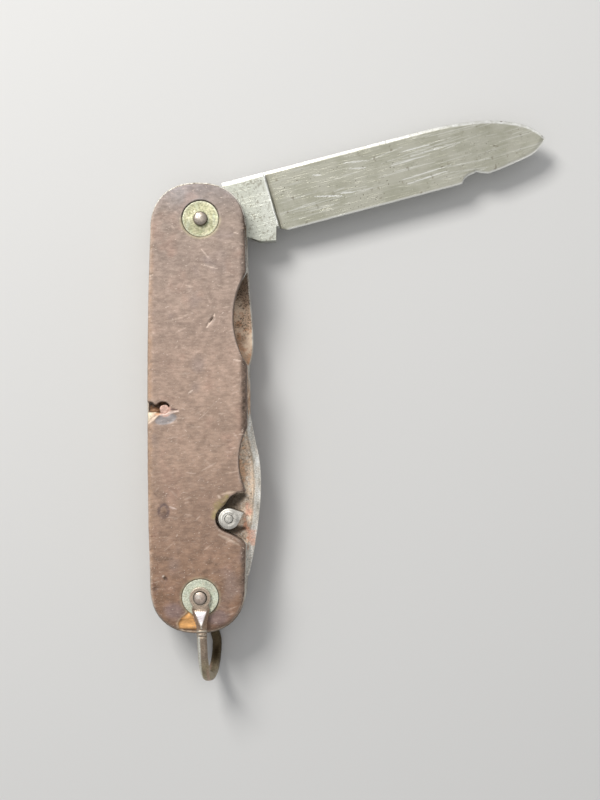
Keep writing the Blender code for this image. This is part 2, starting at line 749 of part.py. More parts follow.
def main():
    for old in list(bpy.data.objects):
        bpy.data.objects.remove(old)
    parts = collection("clasp_knife")
    cutters = collection("clasp_knife_cutters")
    surfaces = make_surfaces()

    for side in ("front", "rear"):
        finish(make_scale(side, parts, cutters), surfaces["fibre"])
        for end, y, sunk in (("blade", PIN_Y, BLADE_WASHER_SUNK), ("bail", -PIN_Y, -BAIL_WASHER_PROUD)):
            finish(make_washer(side, end, y, sunk, parts), surfaces["brass"])
    for name in ("front_liner", "centre_liner", "rear_liner"):
        finish(make_liner(name, parts, cutters), surfaces["rusty"])
    springs = (("blade_spring", "blade", blade_spring_space()),
               ("opener_spring", "opener", opener_spring_space()))
    for name, layer, space in springs:
        finish(make_spring(name, layer, space, parts, cutters), surfaces["rusty"])

    blade_seat = washer_depths(BLADE_WASHER_SUNK)[0]
    bail_seat = bail_depths()[2]
    blade_pin = make_end_pin("blade_pin", PIN_Y, BLADE_HEAD_RADIUS, BLADE_HEAD_HEIGHT, blade_seat, parts)
    opener_pin = make_end_pin("opener_pin", -PIN_Y, BAIL_HEAD_RADIUS, BAIL_HEAD_HEIGHT, bail_seat, parts)
    for pin in (blade_pin, opener_pin, make_spring_pin(parts)):
        finish(pin, surfaces["steel"])

    finish(make_blade(parts, cutters), surfaces["blade"])
    for piece in make_opener(parts, cutters):
        finish(piece, surfaces["steel"])
    finish(make_bail(parts, cutters), surfaces["wire"])


main()
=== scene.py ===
import contextlib
import itertools
import json
import math

import bmesh
import bpy
import numpy as np
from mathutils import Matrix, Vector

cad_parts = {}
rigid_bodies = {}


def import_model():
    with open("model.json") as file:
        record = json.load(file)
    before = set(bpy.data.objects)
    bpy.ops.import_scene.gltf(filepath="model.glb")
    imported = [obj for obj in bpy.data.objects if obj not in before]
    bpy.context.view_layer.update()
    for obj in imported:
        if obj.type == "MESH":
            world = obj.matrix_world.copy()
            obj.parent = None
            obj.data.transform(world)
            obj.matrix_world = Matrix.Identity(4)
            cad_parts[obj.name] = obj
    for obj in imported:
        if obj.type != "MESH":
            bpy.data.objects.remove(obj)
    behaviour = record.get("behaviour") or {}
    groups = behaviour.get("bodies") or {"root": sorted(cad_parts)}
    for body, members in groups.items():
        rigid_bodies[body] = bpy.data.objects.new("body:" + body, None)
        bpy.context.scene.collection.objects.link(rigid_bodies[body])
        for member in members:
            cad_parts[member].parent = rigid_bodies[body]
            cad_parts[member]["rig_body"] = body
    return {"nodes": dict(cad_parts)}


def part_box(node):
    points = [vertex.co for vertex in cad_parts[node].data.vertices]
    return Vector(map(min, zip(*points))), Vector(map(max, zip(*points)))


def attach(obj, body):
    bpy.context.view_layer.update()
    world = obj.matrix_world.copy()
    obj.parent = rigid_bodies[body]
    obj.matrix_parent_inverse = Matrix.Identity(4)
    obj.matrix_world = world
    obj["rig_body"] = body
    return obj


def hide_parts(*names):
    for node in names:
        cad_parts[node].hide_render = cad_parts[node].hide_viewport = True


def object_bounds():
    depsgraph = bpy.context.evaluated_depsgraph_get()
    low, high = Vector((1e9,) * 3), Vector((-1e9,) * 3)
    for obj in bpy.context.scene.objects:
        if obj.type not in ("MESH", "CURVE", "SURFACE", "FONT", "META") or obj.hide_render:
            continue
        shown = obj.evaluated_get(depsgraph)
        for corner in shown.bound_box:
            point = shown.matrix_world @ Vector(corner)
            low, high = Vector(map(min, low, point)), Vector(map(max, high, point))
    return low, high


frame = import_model()
cad_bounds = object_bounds()

MM = 0.001
NODES = frame["nodes"]


def low_mm(node):
    return np.array(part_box(node)[0]) / MM


def high_mm(node):
    return np.array(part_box(node)[1]) / MM


def centre_mm(node):
    return (low_mm(node) + high_mm(node)) / 2


# Places and sizes are in mm, and angles in degrees
HANDLE_LOW = low_mm("front_scale")
HANDLE_HIGH = high_mm("front_scale")
HANDLE_AXIS = (HANDLE_HIGH[0] + HANDLE_LOW[0]) / 2
HANDLE_HALF = (HANDLE_HIGH[0] - HANDLE_LOW[0]) / 2
HANDLE_END = (HANDLE_HIGH[1] - HANDLE_LOW[1]) / 2  # from the handle's middle to either end
THICKNESS = HANDLE_HIGH[2]
SCALE_HEIGHT = THICKNESS - HANDLE_LOW[2]
BLADE_PIN = centre_mm("blade_pin")
OPENER_PIN = centre_mm("opener_pin")
SPRING_PIN = centre_mm("spring_pin")
LUG = centre_mm("lug_rivet")
PIN_BORE = 1.4  # radius of the holes that pins run in
CROWN_DROP = 1.8  # how far the scales' face has fallen at the pins
BELLY_HALF = 9.0  # half the length of the scales' level middle
CROWN_RADIUS = (BLADE_PIN[1] - BELLY_HALF) ** 2 / (2 * CROWN_DROP)


# ---------------------------------------------------------------- numbers on points

def span(value, low, high):
    """0 below low, 1 above high, and a smooth rise between."""
    share = np.clip((value - low) / (high - low), 0.0, 1.0)
    return share * share * (3.0 - 2.0 * share)


def fade(value, low, high):
    """1 below low, 0 above high, and a smooth fall between."""
    return 1.0 - span(value, low, high)


def near(value, low, high):
    """1 within low of zero, 0 beyond high, and a smooth fall between."""
    return fade(np.abs(value), low, high)


def away(x, y, centre, across=1.0, along=1.0):
    """Distance from a centre, counted in a width across and a length along."""
    return np.hypot((x - centre[0]) / across, (y - centre[1]) / along)


def noise(points, size, seed, stretch=(1.0, 1.0, 1.0)):
    """Smooth lattice noise from -1 to 1, with features of one size."""
    cells = 32
    table = np.random.default_rng(seed).uniform(-1.0, 1.0, (cells, cells, cells))
    place = points / (size * np.array(stretch)) + 0.37 * seed
    low = np.floor(place).astype(int)
    share = place - low
    share = share * share * (3.0 - 2.0 * share)
    total = np.zeros(len(points))
    for corner in itertools.product((0, 1), repeat=3):
        weight = np.prod(np.where(np.array(corner) == 1, share, 1.0 - share), axis=1)
        x, y, z = ((low + corner) % cells).T
        total += weight * table[x, y, z]
    return total


def cloud(points, size, seed, octaves=3, stretch=(1.0, 1.0, 1.0)):
    """Noise of several sizes, each half the last."""
    total = sum(noise(points, size / 2 ** i, seed + i, stretch) / 2 ** i for i in range(octaves))
    return total / 1.5


def stroke(x, y, start, end, width):
    """1 on a line from start to end, falling to 0 at its width, and thinner towards its ends."""
    across, along = end[0] - start[0], end[1] - start[1]
    share = ((x - start[0]) * across + (y - start[1]) * along) / (across ** 2 + along ** 2)
    share = np.clip(share, 0.0, 1.0)
    gap = np.hypot(x - start[0] - share * across, y - start[1] - share * along)
    thick = width * (1.0 - 0.6 * np.abs(2.0 * share - 1.0))
    return fade(gap, 0.25 * thick, thick)


def ray_end(start, turn, length):
    return start[0] + length * math.cos(turn), start[1] + length * math.sin(turn)


def inside(x, y, corners):
    """How far each point is inside a convex outline given anticlockwise."""
    depth = np.full(len(x), np.inf)
    for (ax, ay), (bx, by) in zip(corners, corners[1:] + corners[:1]):
        length = math.hypot(bx - ax, by - ay)
        depth = np.minimum(depth, ((bx - ax) * (y - ay) - (by - ay) * (x - ax)) / length)
    return depth


def plain(colour, variation):
    """One colour on every point, made a little lighter and darker."""
    return np.array(colour) * (1.0 + variation)[:, None]


def painted(colours, *coats):
    """Colours under coats, each given as its colour and how thickly it lies on every point."""
    for colour, amount in coats:
        colours = colours + (np.array(colour) - colours) * np.clip(amount, 0.0, 1.0)[:, None]
    return colours


# ---------------------------------------------------------------- meshes

def read(items, name, width, kind=float):
    flat = np.empty(len(items) * width, dtype=kind)
    items.foreach_get(name, flat)
    return flat.reshape(-1, width)


def points_of(mesh):
    return read(mesh.vertices, "co", 3) / MM


def normals_of(mesh):
    return read(mesh.vertices, "normal", 3)


def edges_of(mesh):
    return read(mesh.edges, "vertices", 2, np.int32)


def move_points(mesh, points):
    mesh.vertices.foreach_set("co", (points * MM).ravel())
    mesh.update()


def mesh_from(name, points, faces):
    mesh = bpy.data.meshes.new(name)
    mesh.from_pydata([tuple(point) for point in np.array(points) * MM], [], faces)
    return mesh


@contextlib.contextmanager
def editing(mesh):
    """A mesh opened as a BMesh, and written back afterwards."""
    shape = bmesh.new()
    shape.from_mesh(mesh)
    yield shape
    shape.to_mesh(mesh)
    shape.free()


def neighbour_mean(values, edges):
    """Each point's mean over the points that it shares an edge with."""
    count = len(values)
    ends = np.concatenate((edges, edges[:, ::-1]))
    degree = np.maximum(np.bincount(ends[:, 0], minlength=count), 1)
    columns = [np.bincount(ends[:, 0], weights=column[ends[:, 1]], minlength=count) / degree
               for column in values.T]
    return np.stack(columns, axis=1)


def smoothed(mesh, rounds):
    """Evens out a mesh without shrinking it."""
    points = points_of(mesh)
    edges = edges_of(mesh)
    for _ in range(rounds):
        for push in (0.5, -0.52):
            points = points + push * (neighbour_mean(points, edges) - points)
    move_points(mesh, points)


def bulge(mesh, reach):
    """About 1 along outward edges, 0 on flats and -1 in corners, blurred over a few points."""
    points = points_of(mesh)
    edges = edges_of(mesh)
    value = np.sum((points - neighbour_mean(points, edges)) * normals_of(mesh), axis=1)[:, None]
    for _ in range(reach):
        value = neighbour_mean(value, edges)
    scale = np.percentile(np.abs(value), 98) + 1e-9
    return np.clip(value[:, 0] / scale, -1.0, 1.0)


def store(mesh, name, values):
    """Keeps a number or a colour for each point, for the materials."""
    values = np.clip(values, 0.0, 1.0).astype(np.float32)
    if values.ndim == 1:
        layer = mesh.attributes.new(name, "FLOAT", "POINT")
        layer.data.foreach_set("value", values)
        return
    layer = mesh.attributes.new(name, "FLOAT_COLOR", "POINT")
    opaque = np.ones((len(values), 1), dtype=np.float32)
    layer.data.foreach_set("color", np.hstack((values, opaque)).ravel())


def merged_copy(node):
    """A CAD node's mesh with its split points joined."""
    mesh = NODES[node].data.copy()
    with editing(mesh) as shape:
        bmesh.ops.remove_doubles(shape, verts=shape.verts, dist=1e-6)
    return mesh


def placed(name, data):
    made = bpy.data.objects.new(name, data)
    bpy.context.scene.collection.objects.link(made)
    return made


def modified(mesh, kind, **settings):
    """The mesh after one modifier."""
    holder = placed("holder", mesh)
    step = holder.modifiers.new(kind, kind)
    for name, value in settings.items():
        setattr(step, name, value)
    bpy.context.view_layer.update()
    evaluated = holder.evaluated_get(bpy.context.evaluated_depsgraph_get())
    made = bpy.data.meshes.new_from_object(evaluated)
    bpy.data.objects.remove(holder)
    return made


def remeshed(mesh, size):
    return modified(mesh, "REMESH", mode="VOXEL", voxel_size=size * MM, adaptivity=0.0)


def piece(name, mesh, node, surface):
    """A finished piece that stands for a CAD node and moves with its body."""
    made = placed(name, mesh)
    mesh.materials.clear()
    mesh.materials.append(surface)
    mesh.shade_smooth()
    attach(made, NODES[node]["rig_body"])
    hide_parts(node)
    return made


# ---------------------------------------------------------------- materials

class Nodes:
    """Builds one procedural material on a Principled shader."""

    def __init__(self, name, metallic, roughness):
        self.material = bpy.data.materials.new(name)
        self.material.use_nodes = True
        self.tree = self.material.node_tree
        self.shader = self.tree.nodes["Principled BSDF"]
        self.shader.inputs["Metallic"].default_value = metallic
        self.shader.inputs["Roughness"].default_value = roughness
        self.place = self.add("ShaderNodeTexCoord").outputs["Object"]

    def add(self, kind, **settings):
        made = self.tree.nodes.new(kind)
        for name, value in settings.items():
            setattr(made, name, value)
        return made

    def feed(self, socket, value):
        if isinstance(value, bpy.types.NodeSocket):
            self.tree.links.new(value, socket)
        elif isinstance(value, tuple):
            socket.default_value = (*value, 1.0) if len(value) == 3 else value
        else:
            socket.default_value = value

    def noise(self, size, detail=3.0, stretch=(1.0, 1.0, 1.0), turned=0.0):
        """Noise with features of one size in mm, stretched along the axes."""
        mapping = self.add("ShaderNodeMapping", vector_type="TEXTURE")
        mapping.inputs["Scale"].default_value = stretch
        mapping.inputs["Rotation"].default_value = (0.0, 0.0, math.radians(turned))
        self.tree.links.new(self.place, mapping.inputs["Vector"])
        made = self.add("ShaderNodeTexNoise")
        made.inputs["Scale"].default_value = 1.0 / (size * MM)
        made.inputs["Detail"].default_value = detail
        self.tree.links.new(mapping.outputs["Vector"], made.inputs["Vector"])
        return made.outputs["Fac"]

    def band(self, value, low, high, start=0.0, end=1.0):
        """A smooth change from start to end as a value goes from low to high."""
        made = self.add("ShaderNodeMapRange", interpolation_type="SMOOTHSTEP")
        for name, number in (("Value", value), ("From Min", low), ("From Max", high),
                             ("To Min", start), ("To Max", end)):
            self.feed(made.inputs[name], number)
        return made.outputs["Result"]

    def combine(self, operation, first, second):
        made = self.add("ShaderNodeMath", operation=operation)
        self.feed(made.inputs[0], first)
        self.feed(made.inputs[1], second)
        return made.outputs[0]

    def times(self, first, second):
        return self.combine("MULTIPLY", first, second)

    def mix(self, amount, first, second, blend="MIX"):
        made = self.add("ShaderNodeMix", data_type="RGBA", blend_type=blend)
        self.feed(made.inputs["Factor"], amount)
        self.feed(made.inputs[6], first)
        self.feed(made.inputs[7], second)
        return made.outputs[2]

    def shaded(self, colour, value, dark, light, low=0.3, high=0.7):
        """A colour made darker or lighter by a value."""
        return self.mix(1.0, colour, self.mix(self.band(value, low, high), dark, light), "MULTIPLY")

    def kept(self, name, output="Fac"):
        """What store() kept on the points."""
        return self.add("ShaderNodeAttribute", attribute_name=name).outputs[output]

    def bump(self, height, distance, normal=None):
        made = self.add("ShaderNodeBump")
        made.inputs["Strength"].default_value = 1.0
        made.inputs["Distance"].default_value = distance * MM
        self.tree.links.new(height, made.inputs["Height"])
        if normal is not None:
            self.tree.links.new(normal, made.inputs["Normal"])
        return made.outputs["Normal"]

    def finish(self, colour, roughness, normal, metallic=None):
        for name, value in (("Base Color", colour), ("Roughness", roughness),
                            ("Normal", normal), ("Metallic", metallic)):
            if value is not None:
                self.feed(self.shader.inputs[name], value)
        return self.material


def fibre_surface():
    """Brown vulcanised fibre: its broad colour is kept on the points, its grain is here."""
    n = Nodes("worn_fibre", 0.0, 0.6)
    n.shader.inputs["Specular IOR Level"].default_value = 0.45
    grain = n.noise(0.5, 5.0, (2.6, 1.0, 1.0), 3.0)
    patches = n.noise(1.7, 6.0)
    fine = n.noise(0.15, 2.0, (2.0, 1.0, 1.0))
    lines = n.noise(0.11, 2.0, (7.0, 1.0, 3.0), 3.0)
    crossing = n.noise(0.12, 2.0, (1.0, 12.0, 3.0), 28.0)
    scuffs = n.combine("MAXIMUM", n.band(lines, 0.60, 0.72), n.band(crossing, 0.67, 0.77))
    flecks = n.band(n.noise(0.34, 2.0, (1.7, 1.0, 1.0), 20.0), 0.66, 0.74)
    colour = n.shaded(n.kept("tone", "Color"), grain, (0.87, 0.855, 0.85), (1.12, 1.115, 1.11))
    colour = n.shaded(colour, patches, (0.88, 0.87, 0.86), (1.12, 1.11, 1.11), 0.34, 0.66)
    colour = n.shaded(colour, fine, (0.93, 0.92, 0.91), (1.08, 1.07, 1.06))
    colour = n.mix(n.times(scuffs, 0.45), colour, (0.60, 0.47, 0.39))
    colour = n.mix(n.times(flecks, 0.7), colour, (0.68, 0.55, 0.46))
    normal = n.bump(fine, 0.02, n.bump(scuffs, 0.02, n.bump(grain, 0.035)))
    return n.finish(colour, n.band(grain, 0.3, 0.7, 0.62, 0.48), normal)


# Stretches of the liners, in metres as the materials have them: lower and upper end, from the handle's middle
SCOOP_MIDDLE = (0.013, 0.019)
# Painted shadow: the rust darkens towards the scoop's top end over this stretch
SCOOP_TOP_SHADOW = (0.0215, 0.0275)
WORN_BOTTOM = (-0.044, -0.0395)
# The cutouts, where the worn rims are darkened as painted shadow
CUTOUT_ENDS = (0.031, 0.033)
CUTOUT_DEPTH = (0.0092, 0.0100)  # measured across the handle


def rusty_surface():
    """Thin steel plates: rusty faces, and edges worn to dull bare steel, with painted shadow at the scoop's
    top end and on the worn rims in the cutouts.
    """
    n = Nodes("rusty_plate", 0.6, 0.5)
    broad = n.noise(2.0, 4.0)
    grain = n.noise(0.3, 4.0)
    spots = n.noise(1.3, 2.0)
    edge = n.kept("worn")
    apart = n.add("ShaderNodeSeparateXYZ")
    n.tree.links.new(n.place, apart.inputs[0])
    across, along = apart.outputs["X"], apart.outputs["Y"]

    rust = n.mix(n.band(broad, 0.35, 0.65), (0.62, 0.42, 0.28), (0.95, 0.74, 0.55))
    rust = n.mix(n.times(n.band(spots, 0.52, 0.66), 0.7), rust, (0.66, 0.36, 0.20))
    # Painted shadow: the rust is darkened towards the scoop's top end
    scoop_top_shadow = n.band(n.combine("ADD", along, n.times(grain, 0.004)), *SCOOP_TOP_SHADOW)
    rust = n.mix(n.times(scoop_top_shadow, 0.85), rust, (0.13, 0.085, 0.05))
    worn = n.mix(n.band(broad, 0.3, 0.62), (0.47, 0.43, 0.37), (0.66, 0.64, 0.58))
    worn = n.mix(n.band(along, *WORN_BOTTOM, 0.8, 0.0), worn, (0.17, 0.12, 0.085))
    colour = n.mix(n.band(edge, 0.25, 0.8), rust, worn)

    # Painted shadow: the worn rims inside the scale's cutouts are darkened
    off_axis = n.combine("ABSOLUTE", n.combine("SUBTRACT", across, HANDLE_AXIS * MM), 0.0)
    off_middle = n.combine("ABSOLUTE", along, 0.0)
    cutout_shadow = n.times(n.band(off_axis, *CUTOUT_DEPTH, 0.85, 0.0),
                         n.band(off_middle, *CUTOUT_ENDS, 1.0, 0.0))
    colour = n.mix(n.times(cutout_shadow, edge), colour, (0.11, 0.075, 0.045))
    dark = n.times(n.band(grain, 0.50, 0.60), n.band(broad, 0.45, 0.62, 1.0, 0.0))
    bare = n.times(n.band(edge, 0.3, 0.9, 0.85, 0.3), n.band(along, *SCOOP_MIDDLE, 0.25, 1.0))
    colour = n.mix(n.times(dark, bare), colour, (0.08, 0.05, 0.03))
    rough = n.band(grain, 0.3, 0.7, 0.42, 0.68)
    normal = n.bump(spots, 0.06, n.bump(grain, 0.05))
    return n.finish(colour, rough, normal, n.band(edge, 0.3, 0.9, 0.15, 0.75))


def blade_surface():
    """Satin steel with lengthwise scratches, pits and stains, and with painted highlights and painted shadow
    kept on the points.
    """
    n = Nodes("satin_steel", 0.85, 0.38)
    lines = n.noise(0.10, 3.0, (60.0, 1.0, 1.0), BLADE_ANGLE)
    wide = n.noise(0.35, 3.0, (30.0, 1.0, 1.0), BLADE_ANGLE)
    crossing = n.noise(0.12, 2.0, (40.0, 1.0, 1.0), BLADE_ANGLE - 9.0)
    stain = n.noise(4.0, 6.0)
    light = n.combine("MAXIMUM", n.band(lines, 0.62, 0.72), n.band(crossing, 0.68, 0.76))
    dark = n.band(n.noise(0.4, 2.0), 0.66, 0.74)
    colour = n.mix(n.band(stain, 0.38, 0.62), (0.385, 0.378, 0.30), (0.455, 0.445, 0.37))
    for amount, coat in (
        (n.times(n.band(wide, 0.45, 0.7), 0.5), (0.50, 0.49, 0.42)),
        (n.kept("ricasso"), (0.50, 0.51, 0.445)),
        (n.times(light, 0.30), (0.64, 0.63, 0.56)),
        (n.times(dark, n.band(stain, 0.45, 0.6, 0.2, 0.9)), (0.10, 0.08, 0.05)),
        # Painted highlights on the spine, the cutting edge and the plunge line, together with the real light
        # scratches
        (n.kept("scratches_and_highlights"), (0.92, 0.92, 0.90)),
        # Painted shadow past the plunge line, together with real dirt, pits and stains
        (n.kept("soiled_and_shaded"), (0.13, 0.10, 0.06)),
    ):
        colour = n.mix(amount, colour, coat)
    normal = n.bump(dark, -0.03, n.bump(light, 0.008, n.bump(lines, 0.012)))
    return n.finish(colour, n.band(lines, 0.3, 0.7, 0.32, 0.46), normal)


def toned_steel(name, metallic, low_rough, high_rough, pit_size=0.3):
    """Old steel or brass whose broad colour is kept on the points, with pits and fine wear."""
    n = Nodes(name, metallic, (low_rough + high_rough) / 2)
    grain = n.noise(pit_size, 4.0)
    fine = n.noise(pit_size / 3, 3.0)
    colour = n.shaded(n.kept("tone", "Color"), grain, (0.78, 0.78, 0.76), (1.2, 1.2, 1.2))
    colour = n.shaded(colour, fine, (0.9, 0.9, 0.9), (1.1, 1.1, 1.1))
    rough = n.band(grain, 0.3, 0.7, high_rough, low_rough)
    return n.finish(colour, rough, n.bump(fine, 0.012, n.bump(grain, 0.03)))


# ---------------------------------------------------------------- scales

SCALE_VOXEL = 0.2
SIDE_ROUND = 1.6
END_ROUND = 1.5
LEAST_HEIGHT = 0.6  # a scale's face is never taken as lower than this

# Along the handle: the place, and the fibre's red, green and blue there
FIBRE_TONES = (
    (-47.5, 0.24, 0.14, 0.09),
    (-40.0, 0.265, 0.158, 0.10),
    (-27.0, 0.32, 0.21, 0.15),
    (-8.0, 0.365, 0.258, 0.197),
    (12.0, 0.375, 0.273, 0.217),
    (30.0, 0.33, 0.25, 0.205),
    (41.0, 0.295, 0.23, 0.19),
    (47.5, 0.28, 0.245, 0.235),
)

# Marks on the front scale: start, end, width, depth and how light the mark is
FRONT_MARKS = (
    ((1.5, 16.9), (3.1, 19.6), 0.5, 0.30, 0.95),
    ((2.05, 17.95), (2.85, 19.15), 0.34, 0.35, -1.0),
    ((0.2, 33.4), (1.9, 31.4), 0.22, 0.08, 0.6),
    ((-0.4, 30.6), (2.2, 30.7), 0.3, 0.08, -0.35),
    ((1.9, 30.8), (4.1, 29.6), 0.26, 0.08, -0.3),
    ((0.2, 30.1), (3.9, 29.2), 0.22, 0.03, 0.45),
    ((6.9, 37.0), (7.9, 36.7), 0.2, 0.05, 0.7),
    ((7.0, 10.1), (8.6, 9.9), 0.2, 0.05, 0.75),
    ((-2.4, 3.1), (-1.4, 3.8), 0.3, 0.05, 0.8),
    ((8.0, -5.4), (9.7, -5.6), 0.22, 0.08, 0.6),
    ((-10.9, 27.8), (-9.9, 27.9), 0.3, 0.15, 0.8),
    ((-10.9, 19.0), (-10.2, 19.2), 0.25, 0.12, 0.6),
    ((-9.6, -17.8), (-8.9, -18.6), 0.35, 0.04, -0.4),
)
# Small pits: centre, radius and depth, and their dark rings: centre, radius and strength
FRONT_PITS = (((-7.5, -22.1), 0.9, 0.12), ((-7.35, -35.9), 0.48, 0.4), ((-9.6, -38.2), 0.6, 0.16))
FRONT_SMUDGES = (((-7.5, -22.4), 1.0, 0.55), ((-7.1, -36.0), 0.5, 0.85), ((-9.6, -38.2), 0.9, 0.6))
BROKEN_CHIP = [(-1.9, -42.0), (-3.4, -43.4), (-5.0, -45.5), (-4.3, -47.8), (-0.9, -47.8), (-0.7, -46.2)]
BRUISE = (-7.1, -2.35)


def face_height(x, y):
    """How high a scale's face stands above its inner face."""
    crown = np.maximum(0.0, np.abs(y) - BELLY_HALF) ** 2 / (2 * CROWN_RADIUS)
    past_flat = (np.abs(x - HANDLE_AXIS) - HANDLE_HALF + SIDE_ROUND) / SIDE_ROUND
    side = 1.1 * (1.0 - np.sqrt(1.0 - np.clip(past_flat, 0.0, 1.0) ** 2))
    return SCALE_HEIGHT - crown - side


def end_rounding(x, y):
    """Extra fall of the face along the curved ends."""
    across = np.abs(x - HANDLE_AXIS) / HANDLE_HALF
    along = np.clip((np.abs(y) - (HANDLE_END - HANDLE_HALF)) / HANDLE_HALF, 0.0, None)
    inward = 1.0 - (across ** 2.3 + along ** 2.3) ** (1 / 2.3)
    gap = np.clip(inward * HANDLE_HALF, 0.0, END_ROUND)
    drop = 1.05 * (1.0 - np.sqrt(1.0 - (1.0 - gap / END_ROUND) ** 2))
    return drop * span(along, 0.1, 0.8)


def pin_hollow(x, y, ragged):
    """The dark hollow broken out round the spring pin and on to the left side."""
    pin_x, pin_y = SPRING_PIN[:2]
    near_pin = 1.62 - away(x, y, (pin_x - 0.3, pin_y + 0.05))
    facing_up = (y - pin_y) * 0.83 - (x - pin_x) * 0.55 + 0.2
    lobe = 1.3 - away(x, y, (-10.5, 0.05))
    bridge = np.minimum(0.85 - np.abs(y + 0.1), -8.5 - x)
    hollow = np.maximum.reduce((np.minimum(near_pin, facing_up), lobe, bridge))
    hollow = np.minimum(hollow, y + 1.0 + 0.04 * (x + 11.0))
    return span(hollow + 0.12 * ragged, 0.0, 0.3)


def broken_rim(x, y, ragged):
    """The pale broken slope below the hollow."""
    foot = -3.7 + (x + 11.1) * 0.86
    slope = span(y + 0.25 * ragged, foot, foot + 1.5)
    return slope * fade(y, -0.95, -0.7) * fade(x, -8.5, -7.6)


def bruise(x, y):
    """A shallow oval dent beside the hollow, a little turned."""
    right, up = x - BRUISE[0], y - BRUISE[1]
    turned_x = right * 0.97 + up * 0.25
    turned_y = up * 0.97 - right * 0.25
    return fade(np.hypot(turned_x / 2.7, turned_y / 1.25), 0.72, 1.0)


def front_breaks(points):
    """The hollow, the rim below it, how far into the chip by the bail, and the noise that roughens them."""
    x, y = points[:, 0], points[:, 1]
    ragged = cloud(points, 1.1, 5)
    chip = inside(x, y, BROKEN_CHIP) + 0.3 * cloud(points, 1.2, 12)
    fibres = cloud(points, 0.9, 11, 3, (3.5, 1.0, 1.0))
    return pin_hollow(x, y, ragged), broken_rim(x, y, ragged), chip, ragged, fibres


def front_damage(points):
    """How deep the front scale is broken away at each point."""
    x, y = points[:, 0], points[:, 1]
    hollow, rim, chip, ragged, fibres = front_breaks(points)
    depth = np.maximum(2.3 * hollow, rim * (1.15 + 0.5 * ragged)) + 0.24 * bruise(x, y)
    depth += span(chip, 0.0, 0.35) * (0.42 + 0.2 * fibres)
    for centre, radius, fall in FRONT_PITS:
        depth += fall * fade(away(x, y, centre) + 0.15 * ragged, 0.3 * radius, radius)
    depth += 0.6 * stroke(x, y, (4.6, -20.8), (8.4, -17.8), 0.9) * (0.8 + 0.5 * ragged)
    for start, end, width, fall, _ in FRONT_MARKS:
        depth += fall * stroke(x, y, start, end, width)
    return depth


def worn_depth(points, seed):
    """Broad hollows, small dents and edge nibbles."""
    x, y = points[:, 0], points[:, 1]
    dents = np.zeros(len(points))
    draw = np.random.default_rng(seed)
    for _ in range(46):
        place = (draw.uniform(HANDLE_LOW[0], HANDLE_HIGH[0]), draw.uniform(HANDLE_LOW[1], HANDLE_HIGH[1]))
        radius = draw.uniform(0.25, 0.7)
        fall = draw.uniform(0.03, 0.1)
        dents += fall * fade(away(x, y, place), 0.2 * radius, radius)
    side = span(np.abs(x - HANDLE_AXIS), HANDLE_HALF - SIDE_ROUND, HANDLE_HALF - 0.4)
    nibbles = side * 0.3 * span(cloud(points, 0.9, seed + 3), 0.25, 0.7)
    return dents + nibbles + 0.05 * (1.0 + cloud(points, 9.0, seed + 6, 2))


def carve(mesh, outward, base, depth_of):
    """Lowers a scale's outer face by a depth, drawing its sides down with it."""
    points = points_of(mesh)
    above = (points[:, 2] - base) * outward
    height = np.maximum(face_height(points[:, 0], points[:, 1]), LEAST_HEIGHT)
    depth = depth_of(points) + end_rounding(points[:, 0], points[:, 1])
    keep = np.clip(1.0 - depth / height, 0.1, 1.0)
    outer = span(above / height, 0.0, 0.4)
    points[:, 2] = base + outward * above * (1.0 + (keep - 1.0) * outer)
    move_points(mesh, points)


def scuff_lines(points, seed, count):
    """Fine light scuffs, most of them across the handle."""
    x, y = points[:, 0], points[:, 1]
    draw = np.random.default_rng(seed)
    total = np.zeros(len(points))
    for _ in range(count):
        start = (draw.uniform(HANDLE_LOW[0], HANDLE_HIGH[0]), draw.uniform(HANDLE_LOW[1], HANDLE_HIGH[1]))
        turn = math.radians(draw.normal(4.0, 30.0))
        length = draw.uniform(0.4, 1.6) * draw.uniform(1.0, 2.4)
        light = draw.uniform(0.25, 0.9)
        width = draw.uniform(0.18, 0.3)
        total = np.maximum(total, light * stroke(x, y, start, ray_end(start, turn, length), width))
    return total


